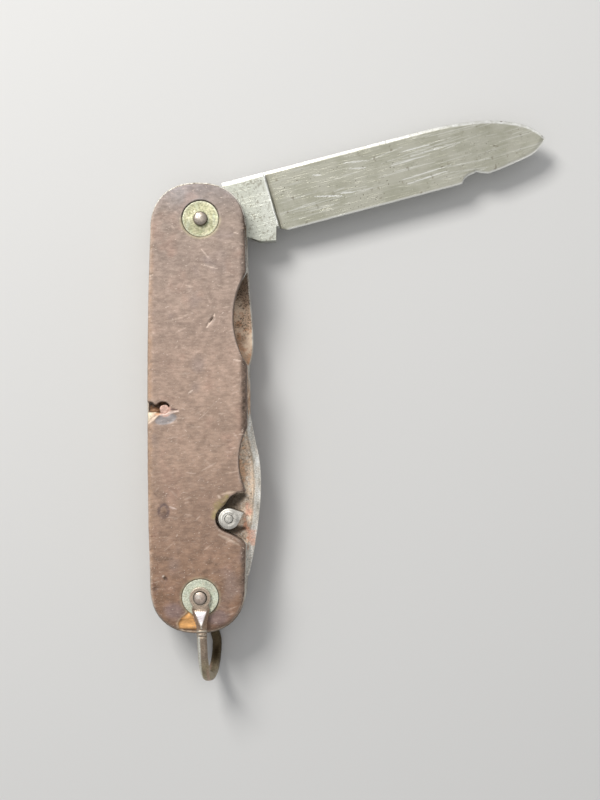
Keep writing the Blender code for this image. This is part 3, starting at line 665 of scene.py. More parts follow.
def fibre_tones(points, up, edge, seed):
    """The fibre's broad colours: lighter in the middle, browner towards the bail, warm on the sides, with
    painted light on the left side and the rims and painted shade on the right side, the side walls and in the
    corners.
    """
    x, y = points[:, 0] - HANDLE_AXIS, points[:, 1]
    stations, *tones = zip(*FIBRE_TONES)
    colours = np.stack([np.interp(y, stations, tone) for tone in tones], axis=1)
    colours *= (1.0 + 0.13 * cloud(points, 7.0, seed + 20) + 0.10 * cloud(points, 2.2, seed + 24))[:, None]
    speckle = cloud(points, 0.7, seed + 40)
    left = span(-x, HANDLE_HALF - 1.7, HANDLE_HALF - 0.4) * fade(y, 36.0, 44.0)
    right = span(x, HANDLE_HALF - 1.9, HANDLE_HALF - 0.7)
    lower = span(-y, 12.0, 40.0)
    walls = fade(up, 0.25, 0.7)
    ends = span(np.abs(y), 42.0, 46.0)
    top_end_sheen = span(y, 38.0, 44.0)
    rim_light = span(edge, 0.15, 0.8) * (0.6 + 0.5 * speckle) * (1.0 - right)
    return painted(
        colours,
        ((0.43, 0.27, 0.21), 0.35 * span(cloud(points, 4.0, seed + 28), 0.15, 0.7)),
        ((0.27, 0.22, 0.21), 0.4 * span(cloud(points, 5.0, seed + 32), 0.3, 0.8)),
        ((0.17, 0.11, 0.075), 0.55 * lower * span(cloud(points, 1.3, seed + 36), 0.2, 0.7)),
        # Warm colour on the left side: partly the fibre's own tint, partly painted light
        ((0.47, 0.31, 0.205), left * (0.6 + 0.5 * speckle)),
        # Painted shade: the right side is darkened, as it is turned away from the key light
        ((0.075, 0.05, 0.034), right * (0.78 + 0.4 * speckle)),
        # Painted shade on the side walls, with warm painted light on the left wall
        ((0.16, 0.105, 0.075), 0.7 * walls),
        ((0.34, 0.22, 0.14), 0.6 * walls * left),
        # Painted highlights on the rims: pale along the sides, a bluish painted reflection at the top end and
        # warm at the bottom end
        ((0.52, 0.44, 0.385), 0.5 * (1.0 - ends) * rim_light),
        ((0.47, 0.455, 0.475), 0.7 * ends * top_end_sheen * rim_light),
        ((0.43, 0.33, 0.25), 0.6 * ends * (1.0 - top_end_sheen) * rim_light),
        # Painted shade in the corners
        ((0.085, 0.055, 0.035), 0.75 * span(-edge, 0.2, 0.8)),
    )


def break_tones(points, colours, speckle):
    """The colours of the hollow at the spring pin, painted near black as painted shade, the torn rim below
    it, and the chip by the bail.
    """
    x, y = points[:, 0], points[:, 1]
    hollow, rim, chip, _, fibres = front_breaks(points)
    round_pin = fade(away(x, y, (SPRING_PIN[0] + 0.2, SPRING_PIN[1] - 0.25)), 1.1, 1.5)
    amber = painted(
        plain((0.78, 0.42, 0.15), -0.7 * fibres),
        ((0.86, 0.60, 0.33), 0.7 * span(-cloud(points, 0.6, 53, 3, (3.0, 1.0, 1.0)), 0.2, 0.6)),
    )
    return painted(
        colours,
        ((0.33, 0.31, 0.315), 0.9 * bruise(x, y)),
        ((0.80, 0.66, 0.49), rim * (0.85 + 0.5 * speckle)),
        ((0.86, 0.79, 0.60), span(-x, 9.3, 10.6) * rim * (0.6 + 0.8 * speckle)),
        ((0.42, 0.27, 0.18), 0.75 * rim * span(speckle, 0.15, 0.5)),
        ((0.72, 0.42, 0.24), 0.8 * stroke(x, y, (-9.4, -1.3), (-8.2, -1.2), 0.6)),
        # Painted shade: the deep hollow is painted near black
        ((0.055, 0.032, 0.016), hollow),
        ((0.34, 0.16, 0.06), 0.85 * hollow * stroke(x, y, (-10.4, -0.55), (-8.6, -0.35), 0.95)),
        ((0.20, 0.09, 0.035), 0.6 * hollow * span(speckle, -0.1, 0.5)),
        ((0.60, 0.38, 0.31), round_pin * (1.0 - hollow)),
        ((0.86, 0.70, 0.62), stroke(x, y, (-8.3, -1.5), (-4.4, -0.6), 0.42)),
        ((0.80, 0.64, 0.50), stroke(x, y, (-10.8, -3.2), (-8.9, -1.7), 0.5)),
        ((0.10, 0.05, 0.045), stroke(x, y, (-6.3, -0.2), (-4.7, -0.3), 0.26)),
        (amber, span(chip, 0.0, 0.3)),
        ((0.68, 0.48, 0.30), 0.6 * span(chip, -0.35, 0.0) * fade(chip, 0.0, 0.25)),
        ((0.12, 0.06, 0.03), 0.85 * span(chip, -0.2, 0.3) * fade(y, -46.9, -46.3)),
    )


def front_stains(points, colours, speckle):
    """Grime by the lug and painted shadow in the notch above it, stains and a painted shadow line round the
    washers, a painted sheen at the top end, and dark and light marks.
    """
    x, y = points[:, 0], points[:, 1]
    lilac = np.maximum(fade(away(x, y, (3.6, -44.2), 3.0, 2.2), 0.5, 1.0),
                       fade(away(x, y, (-5.6, -42.8), 2.8, 2.4), 0.4, 1.0))
    spots = span(-x, 8.0, 9.5) * span(-y, 20.0, 27.0) * span(speckle, 0.25, 0.6)
    olive = near(away(x, y, OPENER_PIN) - 4.1, 0.1, 0.5)
    from_pin = away(x, y, BLADE_PIN)
    above_pin = y - BLADE_PIN[1]
    # Painted shadow along the upper rim of the blade washer's recess
    seat_shadow = near(from_pin - 3.95, 0.05, 0.22) * span(above_pin - 0.35 * x, -1.0, 2.2)
    seat_stain = near(from_pin - 4.1, 0.1, 0.5) * fade(above_pin, -0.5, 1.0)
    sheen = span(0.8 - x, -1.5, 8.0) * span(y, 38.0, 47.0) * fade(-x, 3.0, 9.0)
    ring = near(away(x, y, (-7.6, -21.6), 0.8) - 1.25, 0.2, 0.65)
    colours = painted(
        colours,
        ((0.36, 0.29, 0.13), 0.8 * stroke(x, y, (3.0, -22.8), (5.6, -18.6), 2.2) * (0.8 + 0.8 * speckle)),
        # Painted shadow in the notch above the lug
        ((0.07, 0.045, 0.022), 0.95 * stroke(x, y, (4.7, -21.2), (8.9, -18.0), 0.8)),
        ((0.62, 0.49, 0.38), 0.7 * stroke(x, y, (4.6, -18.1), (7.4, -17.5), 0.4)),
        ((0.66, 0.54, 0.44), 0.6 * stroke(x, y, (3.8, -18.3), (4.3, -18.9), 0.5)),
        ((0.56, 0.45, 0.36), 0.6 * stroke(x, y, (4.0, -26.6), (8.0, -28.6), 0.6)),
        ((0.27, 0.20, 0.20), 0.6 * lilac),
        ((0.16, 0.075, 0.045), 0.7 * spots),
        ((0.40, 0.34, 0.19), 0.5 * olive * (0.6 + 0.6 * speckle)),
        ((0.045, 0.035, 0.025), 0.9 * seat_shadow),
        ((0.42, 0.38, 0.22), 0.45 * seat_stain),
        ((0.36, 0.35, 0.37), 0.5 * sheen),
        ((0.12, 0.08, 0.075), 0.85 * ring * (0.75 + 0.6 * speckle)),
        ((0.72, 0.60, 0.54), 0.6 * stroke(x, y, (-6.4, -20.7), (-4.9, -21.2), 0.3)),
    )
    for centre, radius, shade in FRONT_SMUDGES:
        amount = shade * fade(away(x, y, centre), 0.4 * radius, radius)
        colours = painted(colours, ((0.13, 0.075, 0.055), amount))
    colours = painted(colours, ((0.75, 0.66, 0.58), stroke(x, y, (-8.0, -35.6), (-7.6, -35.3), 0.3)))
    for start, end, width, _, light in FRONT_MARKS:
        colour = (0.80, 0.66, 0.56) if light > 0 else (0.09, 0.06, 0.045)
        colours = painted(colours, (colour, abs(light) * stroke(x, y, start, end, width)))
    return colours


def make_scale(side, surface):
    """One scale: its CAD shape remeshed, carved, smoothed, and given its relief and colours."""
    node = f"{side}_scale"
    front = side == "front"
    low, high = low_mm(node)[2], high_mm(node)[2]
    outward, base, seed = (1.0, low, 60) if front else (-1.0, high, 160)
    mesh = remeshed(merged_copy(node), SCALE_VOXEL)

    def depth_of(points):
        depth = worn_depth(points, seed)
        return depth + front_damage(points) if front else depth

    carve(mesh, outward, base, depth_of)
    mesh = remeshed(mesh, SCALE_VOXEL)
    smoothed(mesh, 4)
    points = points_of(mesh)
    normals = normals_of(mesh)
    up = normals[:, 2] * outward
    scuffs = scuff_lines(points, seed + 1, 150) * span(up, 0.4, 0.8)
    relief = 0.02 * cloud(points, 1.6, seed + 9) + 0.012 * cloud(points, 0.5, seed + 13) - 0.025 * scuffs
    points = points + normals * (relief - 0.02)[:, None]
    points[:, 2] = np.clip(points[:, 2], low, high)
    move_points(mesh, points)
    colours = fibre_tones(points, up, bulge(mesh, 3), seed)
    colours = painted(colours, ((0.60, 0.47, 0.39), 0.6 * scuffs))
    if front:
        speckle = cloud(points, 0.45, 51)
        colours = break_tones(points, colours, speckle)
        colours = front_stains(points, colours, speckle)
    store(mesh, "tone", colours)
    piece(f"{node}_worn", mesh, node, surface)


# ---------------------------------------------------------------- plates

PLATE_ROUND = 0.12
PLATE_RIM = 0.55


def make_plate(node, surface):
    """A CAD plate with a worn rim round its faces and its edges rounded."""
    mesh = merged_copy(node)
    with editing(mesh) as shape:
        bmesh.ops.dissolve_limit(shape, angle_limit=math.radians(1.0), verts=shape.verts, edges=shape.edges)
        worn = shape.verts.layers.float.new("worn")
        flats = [face for face in shape.faces if abs(face.normal.z) > 0.9]
        before = set(shape.verts)
        bmesh.ops.inset_region(shape, faces=flats, thickness=PLATE_RIM * MM, use_boundary=True,
                               use_even_offset=True)
        for vert in set(shape.verts) - before:
            vert[worn] = 1.0
    mesh = modified(mesh, "BEVEL", width=PLATE_ROUND * MM, segments=3, limit_method="ANGLE",
                    angle_limit=math.radians(40), harden_normals=False)
    piece(f"{node}_worn", mesh, node, surface)
    mesh.set_sharp_from_angle(angle=math.radians(35))


# ---------------------------------------------------------------- blade

BLADE_ANGLE = 14.6
BLADE_PLUNGE = 15.2  # from the pin to the foot of the plunge line
BLADE_SPINE = 7.3  # from the pin's line to the spine
BLADE_EDGE = -6.1  # and to the cutting edge
BLADE_STEP = 0.17
EDGE_HALF = 0.2
SPINE_HALF = 1.15

# Scratches that stand out, in the blade's own frame: start, end and how light they are
LONG_SCRATCHES = (
    ((24.8, -0.6), (30.6, -1.9), 0.9), ((30.2, -1.3), (33.6, -1.8), 0.8),
    ((25.6, 3.9), (27.4, 3.5), 0.8), ((32.5, 4.8), (37.5, 4.1), 0.6),
    ((33.5, 3.3), (37.0, 2.6), 0.6), ((45.0, 4.0), (51.5, 3.9), 0.7),
    ((44.0, -1.9), (55.0, -1.4), 0.6), ((45.0, -3.0), (54.5, -2.4), 0.7),
    ((47.0, 2.5), (58.0, 2.9), 0.5), ((42.0, 1.6), (50.0, 1.9), 0.6),
)


def in_frame(points, pin, angle):
    """Points in a moving piece's own frame: along it, across it, and up."""
    turn = math.radians(angle)
    x, y = points[:, 0] - pin[0], points[:, 1] - pin[1]
    along = x * math.cos(turn) + y * math.sin(turn)
    across = y * math.cos(turn) - x * math.sin(turn)
    return np.stack((along, across, points[:, 2]), axis=1)


def from_frame(points, pin, angle):
    turn = math.radians(angle)
    x = points[:, 0] * math.cos(turn) - points[:, 1] * math.sin(turn) + pin[0]
    y = points[:, 0] * math.sin(turn) + points[:, 1] * math.cos(turn) + pin[1]
    return np.stack((x, y, points[:, 2]), axis=1)


def side_lines(points, edges, stations):
    """The lowest and highest reach across a shape at each station along it."""
    first, second = points[edges[:, 0]], points[edges[:, 1]]
    low, high = [], []
    for station in stations:
        crossing = (first[:, 0] - station) * (second[:, 0] - station) <= 0
        crossing &= np.abs(second[:, 0] - first[:, 0]) > 1e-9
        a, b = first[crossing], second[crossing]
        share = (station - a[:, 0]) / (b[:, 0] - a[:, 0])
        reach = a[:, 1] + share * (b[:, 1] - a[:, 1])
        low.append(reach.min())
        high.append(reach.max())
    return np.array(low), np.array(high)


def past_plunge(along, across):
    """How far past the plunge line, which leans a little, each point is."""
    return along - BLADE_PLUNGE - 0.15 - 0.03 * (BLADE_SPINE - across)


def blade_half(along, across, low, high):
    """Half the blade's thickness: full at the tang, hollowed at the plunge, then thinning to its edge."""
    full = (high_mm("main_blade")[2] - low_mm("main_blade")[2]) / 2
    slope = (SPINE_HALF - EDGE_HALF) / (BLADE_SPINE - BLADE_EDGE)
    ground = EDGE_HALF + slope * (across - BLADE_EDGE)
    half = full + (ground - full) * span(past_plunge(along, across), -0.05, 0.45)
    from_edge, from_spine = across - low, high - across
    blade = along > BLADE_PLUNGE
    sharpened = along > BLADE_PLUNGE + 1.2
    bevel = np.where(sharpened, 0.15 + 0.32 * from_edge, full - 0.25 + from_edge)
    chamfer = np.where(blade, 0.84, full - 0.3) + 0.34 * from_spine
    rounded = np.where(blade, 0.5, full - 0.6) + 3.0 * from_spine
    thinning = 1.0 - 0.7 * span(along, 55.0, 74.5)
    return np.maximum(np.minimum.reduce((half, bevel, chamfer, rounded)) * thinning, 0.06)


def blade_outline():
    """Stations along the blade, and its worn lower and upper side at each."""
    cad = merged_copy("main_blade")
    shape = in_frame(points_of(cad), BLADE_PIN, BLADE_ANGLE)
    start, end = shape[:, 0].min() + 0.02, shape[:, 0].max() - 0.12
    stations = np.linspace(start, end, int((end - start) / BLADE_STEP))
    low, high = side_lines(shape, edges_of(cad), stations)
    line = np.stack((stations, np.zeros(len(low)), np.zeros(len(low))), axis=1)
    high = high - 0.05 * np.abs(cloud(line, 1.4, 71)) - 0.2 * span(cloud(line, 0.9, 75), 0.55, 0.8)
    low = low + 0.06 * np.abs(cloud(line, 1.0, 73)) * span(stations, 15.0, 18.0)
    nick = span(stations, 55.0, 56.5) * fade(stations, 61.0, 62.0)
    return stations, low + 0.42 * nick * np.abs(noise(line, 0.9, 74)), high


def blade_faces(count, wide):
    """The faces between two grids of points, the upper side's first, with walls all round."""
    faces = []
    under = count * wide
    for i, j in itertools.product(range(count - 1), range(wide - 1)):
        a, b = i * wide + j, (i + 1) * wide + j
        faces.append((a, b, b + 1, a + 1))
        faces.append((a + under, a + 1 + under, b + 1 + under, b + under))
    edge = range(0, under, wide)
    spine = range(wide - 1, under, wide)
    heel = range(wide)
    point = range(under - wide, under)
    for line in (edge[::-1], spine, heel, point[::-1]):
        faces += [(a, b, b + under, a + under) for a, b in zip(line, line[1:])]
    return faces


def blade_mesh(stations, low, high):
    """The ground blade, fine near its edge and spine, with its bore."""
    middle = centre_mm("main_blade")[2]
    near_side = np.array((0.0, 0.06, 0.14, 0.25, 0.4, 0.6, 0.8, 0.95))
    shares = np.linspace(0.0, 1.0, 72)[1:-1]
    rows = []
    for along, bottom, top in zip(stations, low, high):
        inset = near_side * min(1.0, (top - bottom) / 3.0)
        inner = bottom + inset[-1] + (top - bottom - 2 * inset[-1]) * shares
        across = np.concatenate((bottom + inset, inner, top - inset[::-1]))
        rows.append(np.stack((np.full(len(across), along), across), axis=1))
    wide = len(rows[0])
    flat = np.concatenate(rows)
    half = blade_half(flat[:, 0], flat[:, 1], np.repeat(low, wide), np.repeat(high, wide))
    half += 0.02 * cloud(np.column_stack((flat, np.zeros(len(flat)))), 9.0, 77, 2) - 0.02
    sides = [np.column_stack((flat, middle + side * half)) for side in (1.0, -1.0)]
    points = from_frame(np.concatenate(sides), BLADE_PIN, BLADE_ANGLE)
    return bored(mesh_from("main_blade_ground", points, blade_faces(len(rows), wide)), BLADE_PIN)


def blade_scratches(along, across):
    """Light scratches: long ones down the blade, and a few groups that cross them."""
    draw = np.random.default_rng(31)
    total = np.zeros(len(along))
    for _ in range(64):
        start = (draw.uniform(16.0, 72.0), draw.uniform(-5.0, 6.3))
        turn = math.radians(draw.normal(1.5, 4.0))
        length = draw.uniform(2.0, 14.0)
        light = draw.uniform(0.08, 0.36)
        total = np.maximum(total, light * stroke(along, across, start, ray_end(start, turn, length), 0.17))
    for start, end, light in LONG_SCRATCHES:
        total = np.maximum(total, light * stroke(along, across, start, end, 0.21))
    return total


def make_blade(surface):
    """The blade, with its scratches and painted highlights, and its dirt and painted shadow, kept on its
    points.
    """
    stations, low, high = blade_outline()
    mesh = blade_mesh(stations, low, high)
    place = in_frame(points_of(mesh), BLADE_PIN, BLADE_ANGLE)
    along, across = place[:, 0], place[:, 1]
    from_edge = across - np.interp(along, stations, low)
    from_spine = np.interp(along, stations, high) - across
    ground = past_plunge(along, across)
    ricasso = fade(ground, -0.1, 0.3)
    scratches_and_highlights = np.maximum.reduce((
        # Painted highlight along the spine's chamfer
        0.76 * fade(from_spine, 0.55, 0.85) * (0.85 + 0.4 * cloud(place, 0.6, 81)),
        # Painted highlight along the cutting edge
        0.55 * fade(from_edge, 0.2, 0.5) * span(along, BLADE_PLUNGE + 1.5, BLADE_PLUNGE + 3.0),
        # Painted highlight on the plunge line's step
        0.55 * near(ground + 0.1, 0.1, 0.35),
        0.3 * ricasso * span(ground, -4.2, -1.0) * (0.45 + 0.5 * cloud(place, 2.0, 85)),
        blade_scratches(along, across) * (1.0 - 0.7 * ricasso),
    ))
    upper_pits = ricasso * span(across, 0.5, 5.5) * (0.4 + 0.6 * span(cloud(place, 2.5, 84), -0.3, 0.4))
    soiled_and_shaded = np.maximum.reduce((
        # Painted shadow just past the plunge line's step; the rest are real pits, dirt and stains
        0.3 * near(ground - 0.55, 0.15, 0.5),
        0.55 * upper_pits * span(cloud(place, 0.45, 83), 0.15, 0.5),
        0.55 * ricasso * span(cloud(place, 0.4, 95), 0.35, 0.6),
        0.75 * span(cloud(place, 1.1, 87), 0.45, 0.7) * fade(from_spine, 0.1, 0.7),
        0.3 * span(cloud(place, 1.6, 91), 0.35, 0.8) * span(along, 46.0, 66.0),
        0.5 * span(cloud(place, 0.8, 94), 0.55, 0.8),
    ))
    for name, values in (("scratches_and_highlights", scratches_and_highlights), ("ricasso", ricasso), ("soiled_and_shaded", soiled_and_shaded)):
        store(mesh, name, values)
    piece("main_blade_ground", mesh, "main_blade", surface)
    mesh.set_sharp_from_angle(angle=math.radians(22))


def bored(mesh, pin):
    """A mesh with a pin's hole through it."""
    bore = bpy.data.meshes.new("bore")
    with editing(bore) as shape:
        bmesh.ops.create_cone(shape, cap_ends=True, segments=32, radius1=PIN_BORE * MM,
                              radius2=PIN_BORE * MM, depth=0.06)
        bmesh.ops.translate(shape, verts=shape.verts, vec=(pin[0] * MM, pin[1] * MM, 0.0))
    cutter = placed("bore", bore)
    cut = modified(mesh, "BOOLEAN", operation="DIFFERENCE", object=cutter, solver="EXACT")
    bpy.data.objects.remove(cutter)
    return cut


# ---------------------------------------------------------------- opener and lug

def make_opener(surface):
    """The opener, thinned along its back and rusty inside it."""
    cad = merged_copy("can_opener")
    stations = np.linspace(4.5, 39.6, 80)
    outline = (points_of(cad) - OPENER_PIN)[:, [1, 0, 2]]
    _, back = side_lines(outline, edges_of(cad), stations)
    mesh = remeshed(cad, 0.18)
    smoothed(mesh, 3)
    points = points_of(mesh)
    from_pin = points[:, 1] - OPENER_PIN[1]
    gap = np.interp(from_pin, stations, back) - (points[:, 0] - OPENER_PIN[0])
    ground = fade(gap, 0.0, 1.5) * span(from_pin, 3.0, 7.0)
    middle = centre_mm("can_opener")[2]
    points[:, 2] = middle + (points[:, 2] - middle) * (1.0 - 0.38 * ground)
    relief = 0.03 * cloud(points, 1.2, 101) + 0.02 * cloud(points, 0.45, 104) - 0.02
    points = points + normals_of(mesh) * relief[:, None]
    move_points(mesh, points)

    x, y = points[:, 0], points[:, 1]
    broad, spots, fine = cloud(points, 3.0, 107), cloud(points, 1.0, 110), cloud(points, 0.4, 113)
    streaks = cloud(points, 0.5, 120, 3, (1.0, 5.0, 1.0))
    band = fade(gap + 0.15 * broad, 1.15, 1.55)
    orange = stroke(x, y, (8.5, -6.5), (8.9, -16.0), 2.0) * span(cloud(points, 0.7, 122), -0.15, 0.25)
    blotch = stroke(x, y, (9.9, -20.5), (11.0, -29.0), 1.9) * span(cloud(points, 1.3, 119), -0.25, 0.2)
    # Painted shadow on the opener round the lug: in the scale's notch above it, and below it
    darkening = np.maximum(stroke(x, y, (4.6, -20.8), (9.0, -18.6), 2.7),
                       stroke(x, y, (5.0, -26.2), (9.2, -25.6), 1.5))
    store(mesh, "tone", painted(
        plain((0.86, 0.68, 0.52), 0.2 * broad),
        ((0.92, 0.86, 0.78), 0.7 * span(fine, 0.0, 0.6)),
        ((0.80, 0.38, 0.22), 0.9 * span(spots, 0.1, 0.5) * fade(from_pin, 14.0, 20.0)),
        ((0.14, 0.09, 0.05), 0.7 * span(cloud(points, 0.6, 117), 0.35, 0.65)),
        ((0.74, 0.72, 0.66), band * (0.85 + 0.2 * fine)),
        ((0.93, 0.92, 0.88), 0.8 * band * span(streaks, 0.0, 0.5)),
        ((0.40, 0.37, 0.31), 0.7 * band * span(-streaks, 0.15, 0.6)),
        ((0.20, 0.15, 0.10), 0.55 * span(gap, 1.2, 1.5) * fade(gap, 1.5, 1.8)),
        ((0.80, 0.78, 0.73), 0.6 * span(bulge(mesh, 2), 0.3, 0.9)),
        ((0.50, 0.46, 0.40), 0.6 * fade(x + 0.6 * fine, 3.5, 7.0)),
        ((0.86, 0.52, 0.30), 0.7 * orange),
        ((0.90, 0.50, 0.36), 0.75 * blotch),
        ((0.06, 0.04, 0.02), 0.92 * darkening),
    ))
    piece("can_opener_ground", mesh, "can_opener", surface)


def make_lug(surface):
    """The rim lug: a rounded top with a fine ring pressed round its rivet, a painted highlight on its
    upper-left edges and painted shade lower down.
    """
    mesh = remeshed(merged_copy("rim_lug"), 0.09)
    smoothed(mesh, 5)
    points = points_of(mesh)
    top = high_mm("rim_lug")[2]
    radius = away(points[:, 0], points[:, 1], LUG)
    upper = span(points[:, 2], top - 1.0, top)
    points[:, 2] -= upper * 0.3 * span(radius, 1.45, 2.3)
    points[:, 2] -= upper * 0.02 * near(radius - 1.2, 0.06, 0.22)
    points = points + normals_of(mesh) * (0.025 * cloud(points, 0.9, 121) - 0.015)[:, None]
    move_points(mesh, points)
    lit_upper_left = span((points[:, 1] - LUG[1]) - (points[:, 0] - LUG[0]), 0.2, 1.8)
    store(mesh, "tone", painted(
        plain((0.52, 0.495, 0.455), 0.25 * cloud(points, 0.8, 123)),
        # Painted highlight on the upper-left edges, facing the key light
        ((0.92, 0.90, 0.84), span(bulge(mesh, 3), 0.15, 0.6) * lit_upper_left),
        ((0.20, 0.16, 0.12), 0.6 * span(cloud(points, 0.5, 126), 0.3, 0.7)),
        # Painted shade: darker further below the top
        ((0.17, 0.12, 0.08), 0.8 * fade(points[:, 2], top - 2.2, top - 0.7)),
    ))
    piece("rim_lug_worn", mesh, "rim_lug", surface)


# ---------------------------------------------------------------- bail

BAIL_ANGLE = -87.0
BAIL_TWIST = 11.0  # how far the rear arm is turned from the front one
BAIL_ARM_END = 11.5
BAIL_REACH = 17.6
WIRE_HALF = 0.65
WIRE_WIDE = 1.05
EYE_THICKNESS = 0.6
UPPER_SIDE = (14.85, 15.75)  # heights between which the front arm's lowering grows to its full
FACET_HALF = 1.45  # half the facet's width at the eye, from where it narrows to nothing
FACET_LENGTH = 3.6


def bail_stations():
    """Along the bail from eye to eye: reach and twist in its frame, height, half width, half thickness."""
    top, bottom = high_mm("bail")[2] - WIRE_HALF, low_mm("bail")[2] + WIRE_HALF
    middle, half = (top + bottom) / 2, (top - bottom) / 2
    arm = np.linspace(1.7, BAIL_ARM_END, 36)[:-1]
    arm_wide = np.interp(arm, (1.7, 2.3, 5.5, 9.0), (1.75, 1.95, 1.16, WIRE_WIDE))
    arm_half = np.interp(arm, (2.5, 3.5), (0.3, WIRE_HALF))
    rows = [(reach, 0.0, top - WIRE_HALF + thick, wide, thick)
            for reach, wide, thick in zip(arm, arm_wide, arm_half)]
    for share in np.linspace(0.0, 1.0, 41):
        turn = math.radians(90 - 180 * share)
        reach = BAIL_ARM_END + (BAIL_REACH - BAIL_ARM_END) * math.cos(turn)
        thick = WIRE_HALF + 0.45 * span(math.cos(turn), 0.1, 0.85)
        rows.append((reach, BAIL_TWIST * share ** 2, middle + half * math.sin(turn), WIRE_WIDE, thick))
    rows += [(reach, BAIL_TWIST, bottom + WIRE_HALF - thick, wide, thick)
             for reach, wide, thick in zip(arm[::-1], arm_wide[::-1], arm_half[::-1])]
    return rows


def swept_bail():
    """One smooth flattened wire, bent into a loop: its points and faces."""
    rows = bail_stations()
    turns = [math.radians(twist) for _, twist, *_ in rows]
    line = np.array([(row[0] * math.cos(turn), row[0] * math.sin(turn), row[2])
                     for row, turn in zip(rows, turns)])
    heading = np.gradient(line, axis=0)
    heading /= np.linalg.norm(heading, axis=1)[:, None]
    sides = 28
    points, faces = [], []
    for place, ahead, twist, (*_, wide, thick) in zip(line, heading, turns, rows):
        across = np.array((-math.sin(twist), math.cos(twist), 0.0))
        outward = np.cross(ahead, across)
        for i in range(sides):
            turn = 2 * math.pi * i / sides
            right = math.copysign(abs(math.cos(turn)) ** 0.75, math.cos(turn)) * wide
            rise = math.copysign(abs(math.sin(turn)) ** 0.75, math.sin(turn)) * thick
            points.append(place + across * right + outward * rise)
    for a in range(0, (len(rows) - 1) * sides, sides):
        for i in range(sides):
            j = (i + 1) % sides
            faces.append((a + i, a + sides + i, a + sides + j, a + j))
    faces.append(tuple(range(sides)))
    faces.append(tuple(reversed(range(len(points) - sides, len(points)))))
    return np.array(points), faces


def bail_eye(low, high):
    """A flat eye's points and faces."""
    outer = 2.3
    eye = turned([(PIN_BORE, high), (outer - 0.1, high), (outer, high - 0.12), (outer, low + 0.12),
                  (outer - 0.1, low), (PIN_BORE, low)], (0.0, 0.0), 40)
    return points_of(eye), [tuple(face.vertices) for face in eye.polygons]


def joined(parts):
    """Several lists of points and faces as one mesh."""
    points, faces = [], []
    for part_points, part_faces in parts:
        faces += [tuple(len(points) + i for i in face) for face in part_faces]
        points += list(part_points)
    mesh = mesh_from("joined", points, faces)
    with editing(mesh) as shape:
        bmesh.ops.recalc_face_normals(shape, faces=shape.faces)
    return mesh


def make_bail(surface):
    """The bail: wire and eyes run together, with a facet and three rings on its front arm."""
    outer_eye = high_mm("bail")[2] - 0.7
    inner_eye = THICKNESS - outer_eye
    mesh = joined((swept_bail(), bail_eye(outer_eye - EYE_THICKNESS, outer_eye),
                   bail_eye(inner_eye, inner_eye + EYE_THICKNESS)))
    move_points(mesh, from_frame(points_of(mesh), OPENER_PIN, BAIL_ANGLE))
    mesh = remeshed(mesh, 0.1)
    smoothed(mesh, 4)
    place = in_frame(points_of(mesh), OPENER_PIN, BAIL_ANGLE)
    along, across, up = place.T.copy()
    facet_half = np.clip(FACET_HALF * (1.0 - (along - 2.4) / FACET_LENGTH), 0.0, FACET_HALF)
    in_facet = facet_half - np.abs(across)
    shoulder = span(along, 1.8, 2.6) * fade(along, 5.8, 7.0)
    sunk = shoulder * np.clip(-in_facet, 0.0, 0.9) * 0.75
    sunk += 0.14 * span(along, 2.2, 3.6) * fade(along, 4.6, 6.0)
    sunk += sum(0.08 * near(along - at, 0.05, 0.25) for at in (6.6, 7.3, 8.1))
    place[:, 2] -= span(up, *UPPER_SIDE) * sunk
    points = from_frame(place, OPENER_PIN, BAIL_ANGLE)
    relief = 0.035 * cloud(points, 1.3, 131) + 0.015 * cloud(points, 0.4, 134) - 0.02
    points += normals_of(mesh) * relief[:, None]
    move_points(mesh, points)

    speckle = cloud(points, 0.5, 137)
    front, rear = span(up, 14.4, 14.9), fade(up, 2.2, 6.0)
    facet = front * shoulder * span(in_facet, -0.15, 0.15) * span(along, 2.6, 3.2) * fade(along, 5.6, 6.4)
    eye = front * fade(np.hypot(along, across), 2.2, 2.7)
    gold = span(along, 12.0, 15.0) * fade(along, 17.8, 18.6)
    pale = near(across + 0.7, 0.1, 0.4) * span(along, 7.0, 9.0) * span(up, 4.0, 8.0)
    store(mesh, "tone", painted(
        plain((0.29, 0.225, 0.17), 0.25 * cloud(points, 1.8, 140)),
        ((0.15, 0.10, 0.06), 0.7 * span(speckle, 0.2, 0.7)),
        ((1.0, 0.90, 0.93), facet),
        ((0.42, 0.26, 0.18), 0.5 * front * shoulder * fade(in_facet, -0.3, 0.1)),
        ((0.58, 0.46, 0.36), 0.7 * eye * (0.7 + 0.5 * speckle)),
        ((0.58, 0.50, 0.30), 0.45 * gold * (0.8 + 0.6 * speckle)),
        # Painted highlight along one edge of the loop
        ((0.80, 0.80, 0.72), 0.75 * pale),
        ((0.52, 0.33, 0.25), 0.6 * near(across - 0.75, 0.1, 0.45) * span(along, 14.0, 16.0)),
        # Painted shade over the rear arm
        ((0.17, 0.12, 0.05), 0.8 * rear),
        # Painted highlight line along the rear arm
        ((1.0, 0.86, 0.56), 0.85 * fade(up, 8.0, 11.0) * near(across + 0.3, 0.1, 0.45)),
        # Painted shadow beside that highlight on the rear arm
        ((0.05, 0.035, 0.015), 0.8 * rear * span(across, 0.1, 0.5)),
        ((0.72, 0.66, 0.55), 0.5 * span(bulge(mesh, 3), 0.3, 0.9)),
    ))
    piece("bail_forged", mesh, "bail", surface)


# ---------------------------------------------------------------- pins and washers

PIN_SHAFT = 1.25
WASHER_GROWTH = 0.15  # how much wider a washer is than its CAD node
WASHER_SOFT = 0.14  # the rounding of its rim
# At either end: tone, tilt (1 follows the scale's slope) and grime
WASHER_LOOKS = {"blade": ((0.42, 0.41, 0.26), 1.0, 0.0), "bail": ((0.64, 0.67, 0.55), 0.0, 0.6)}


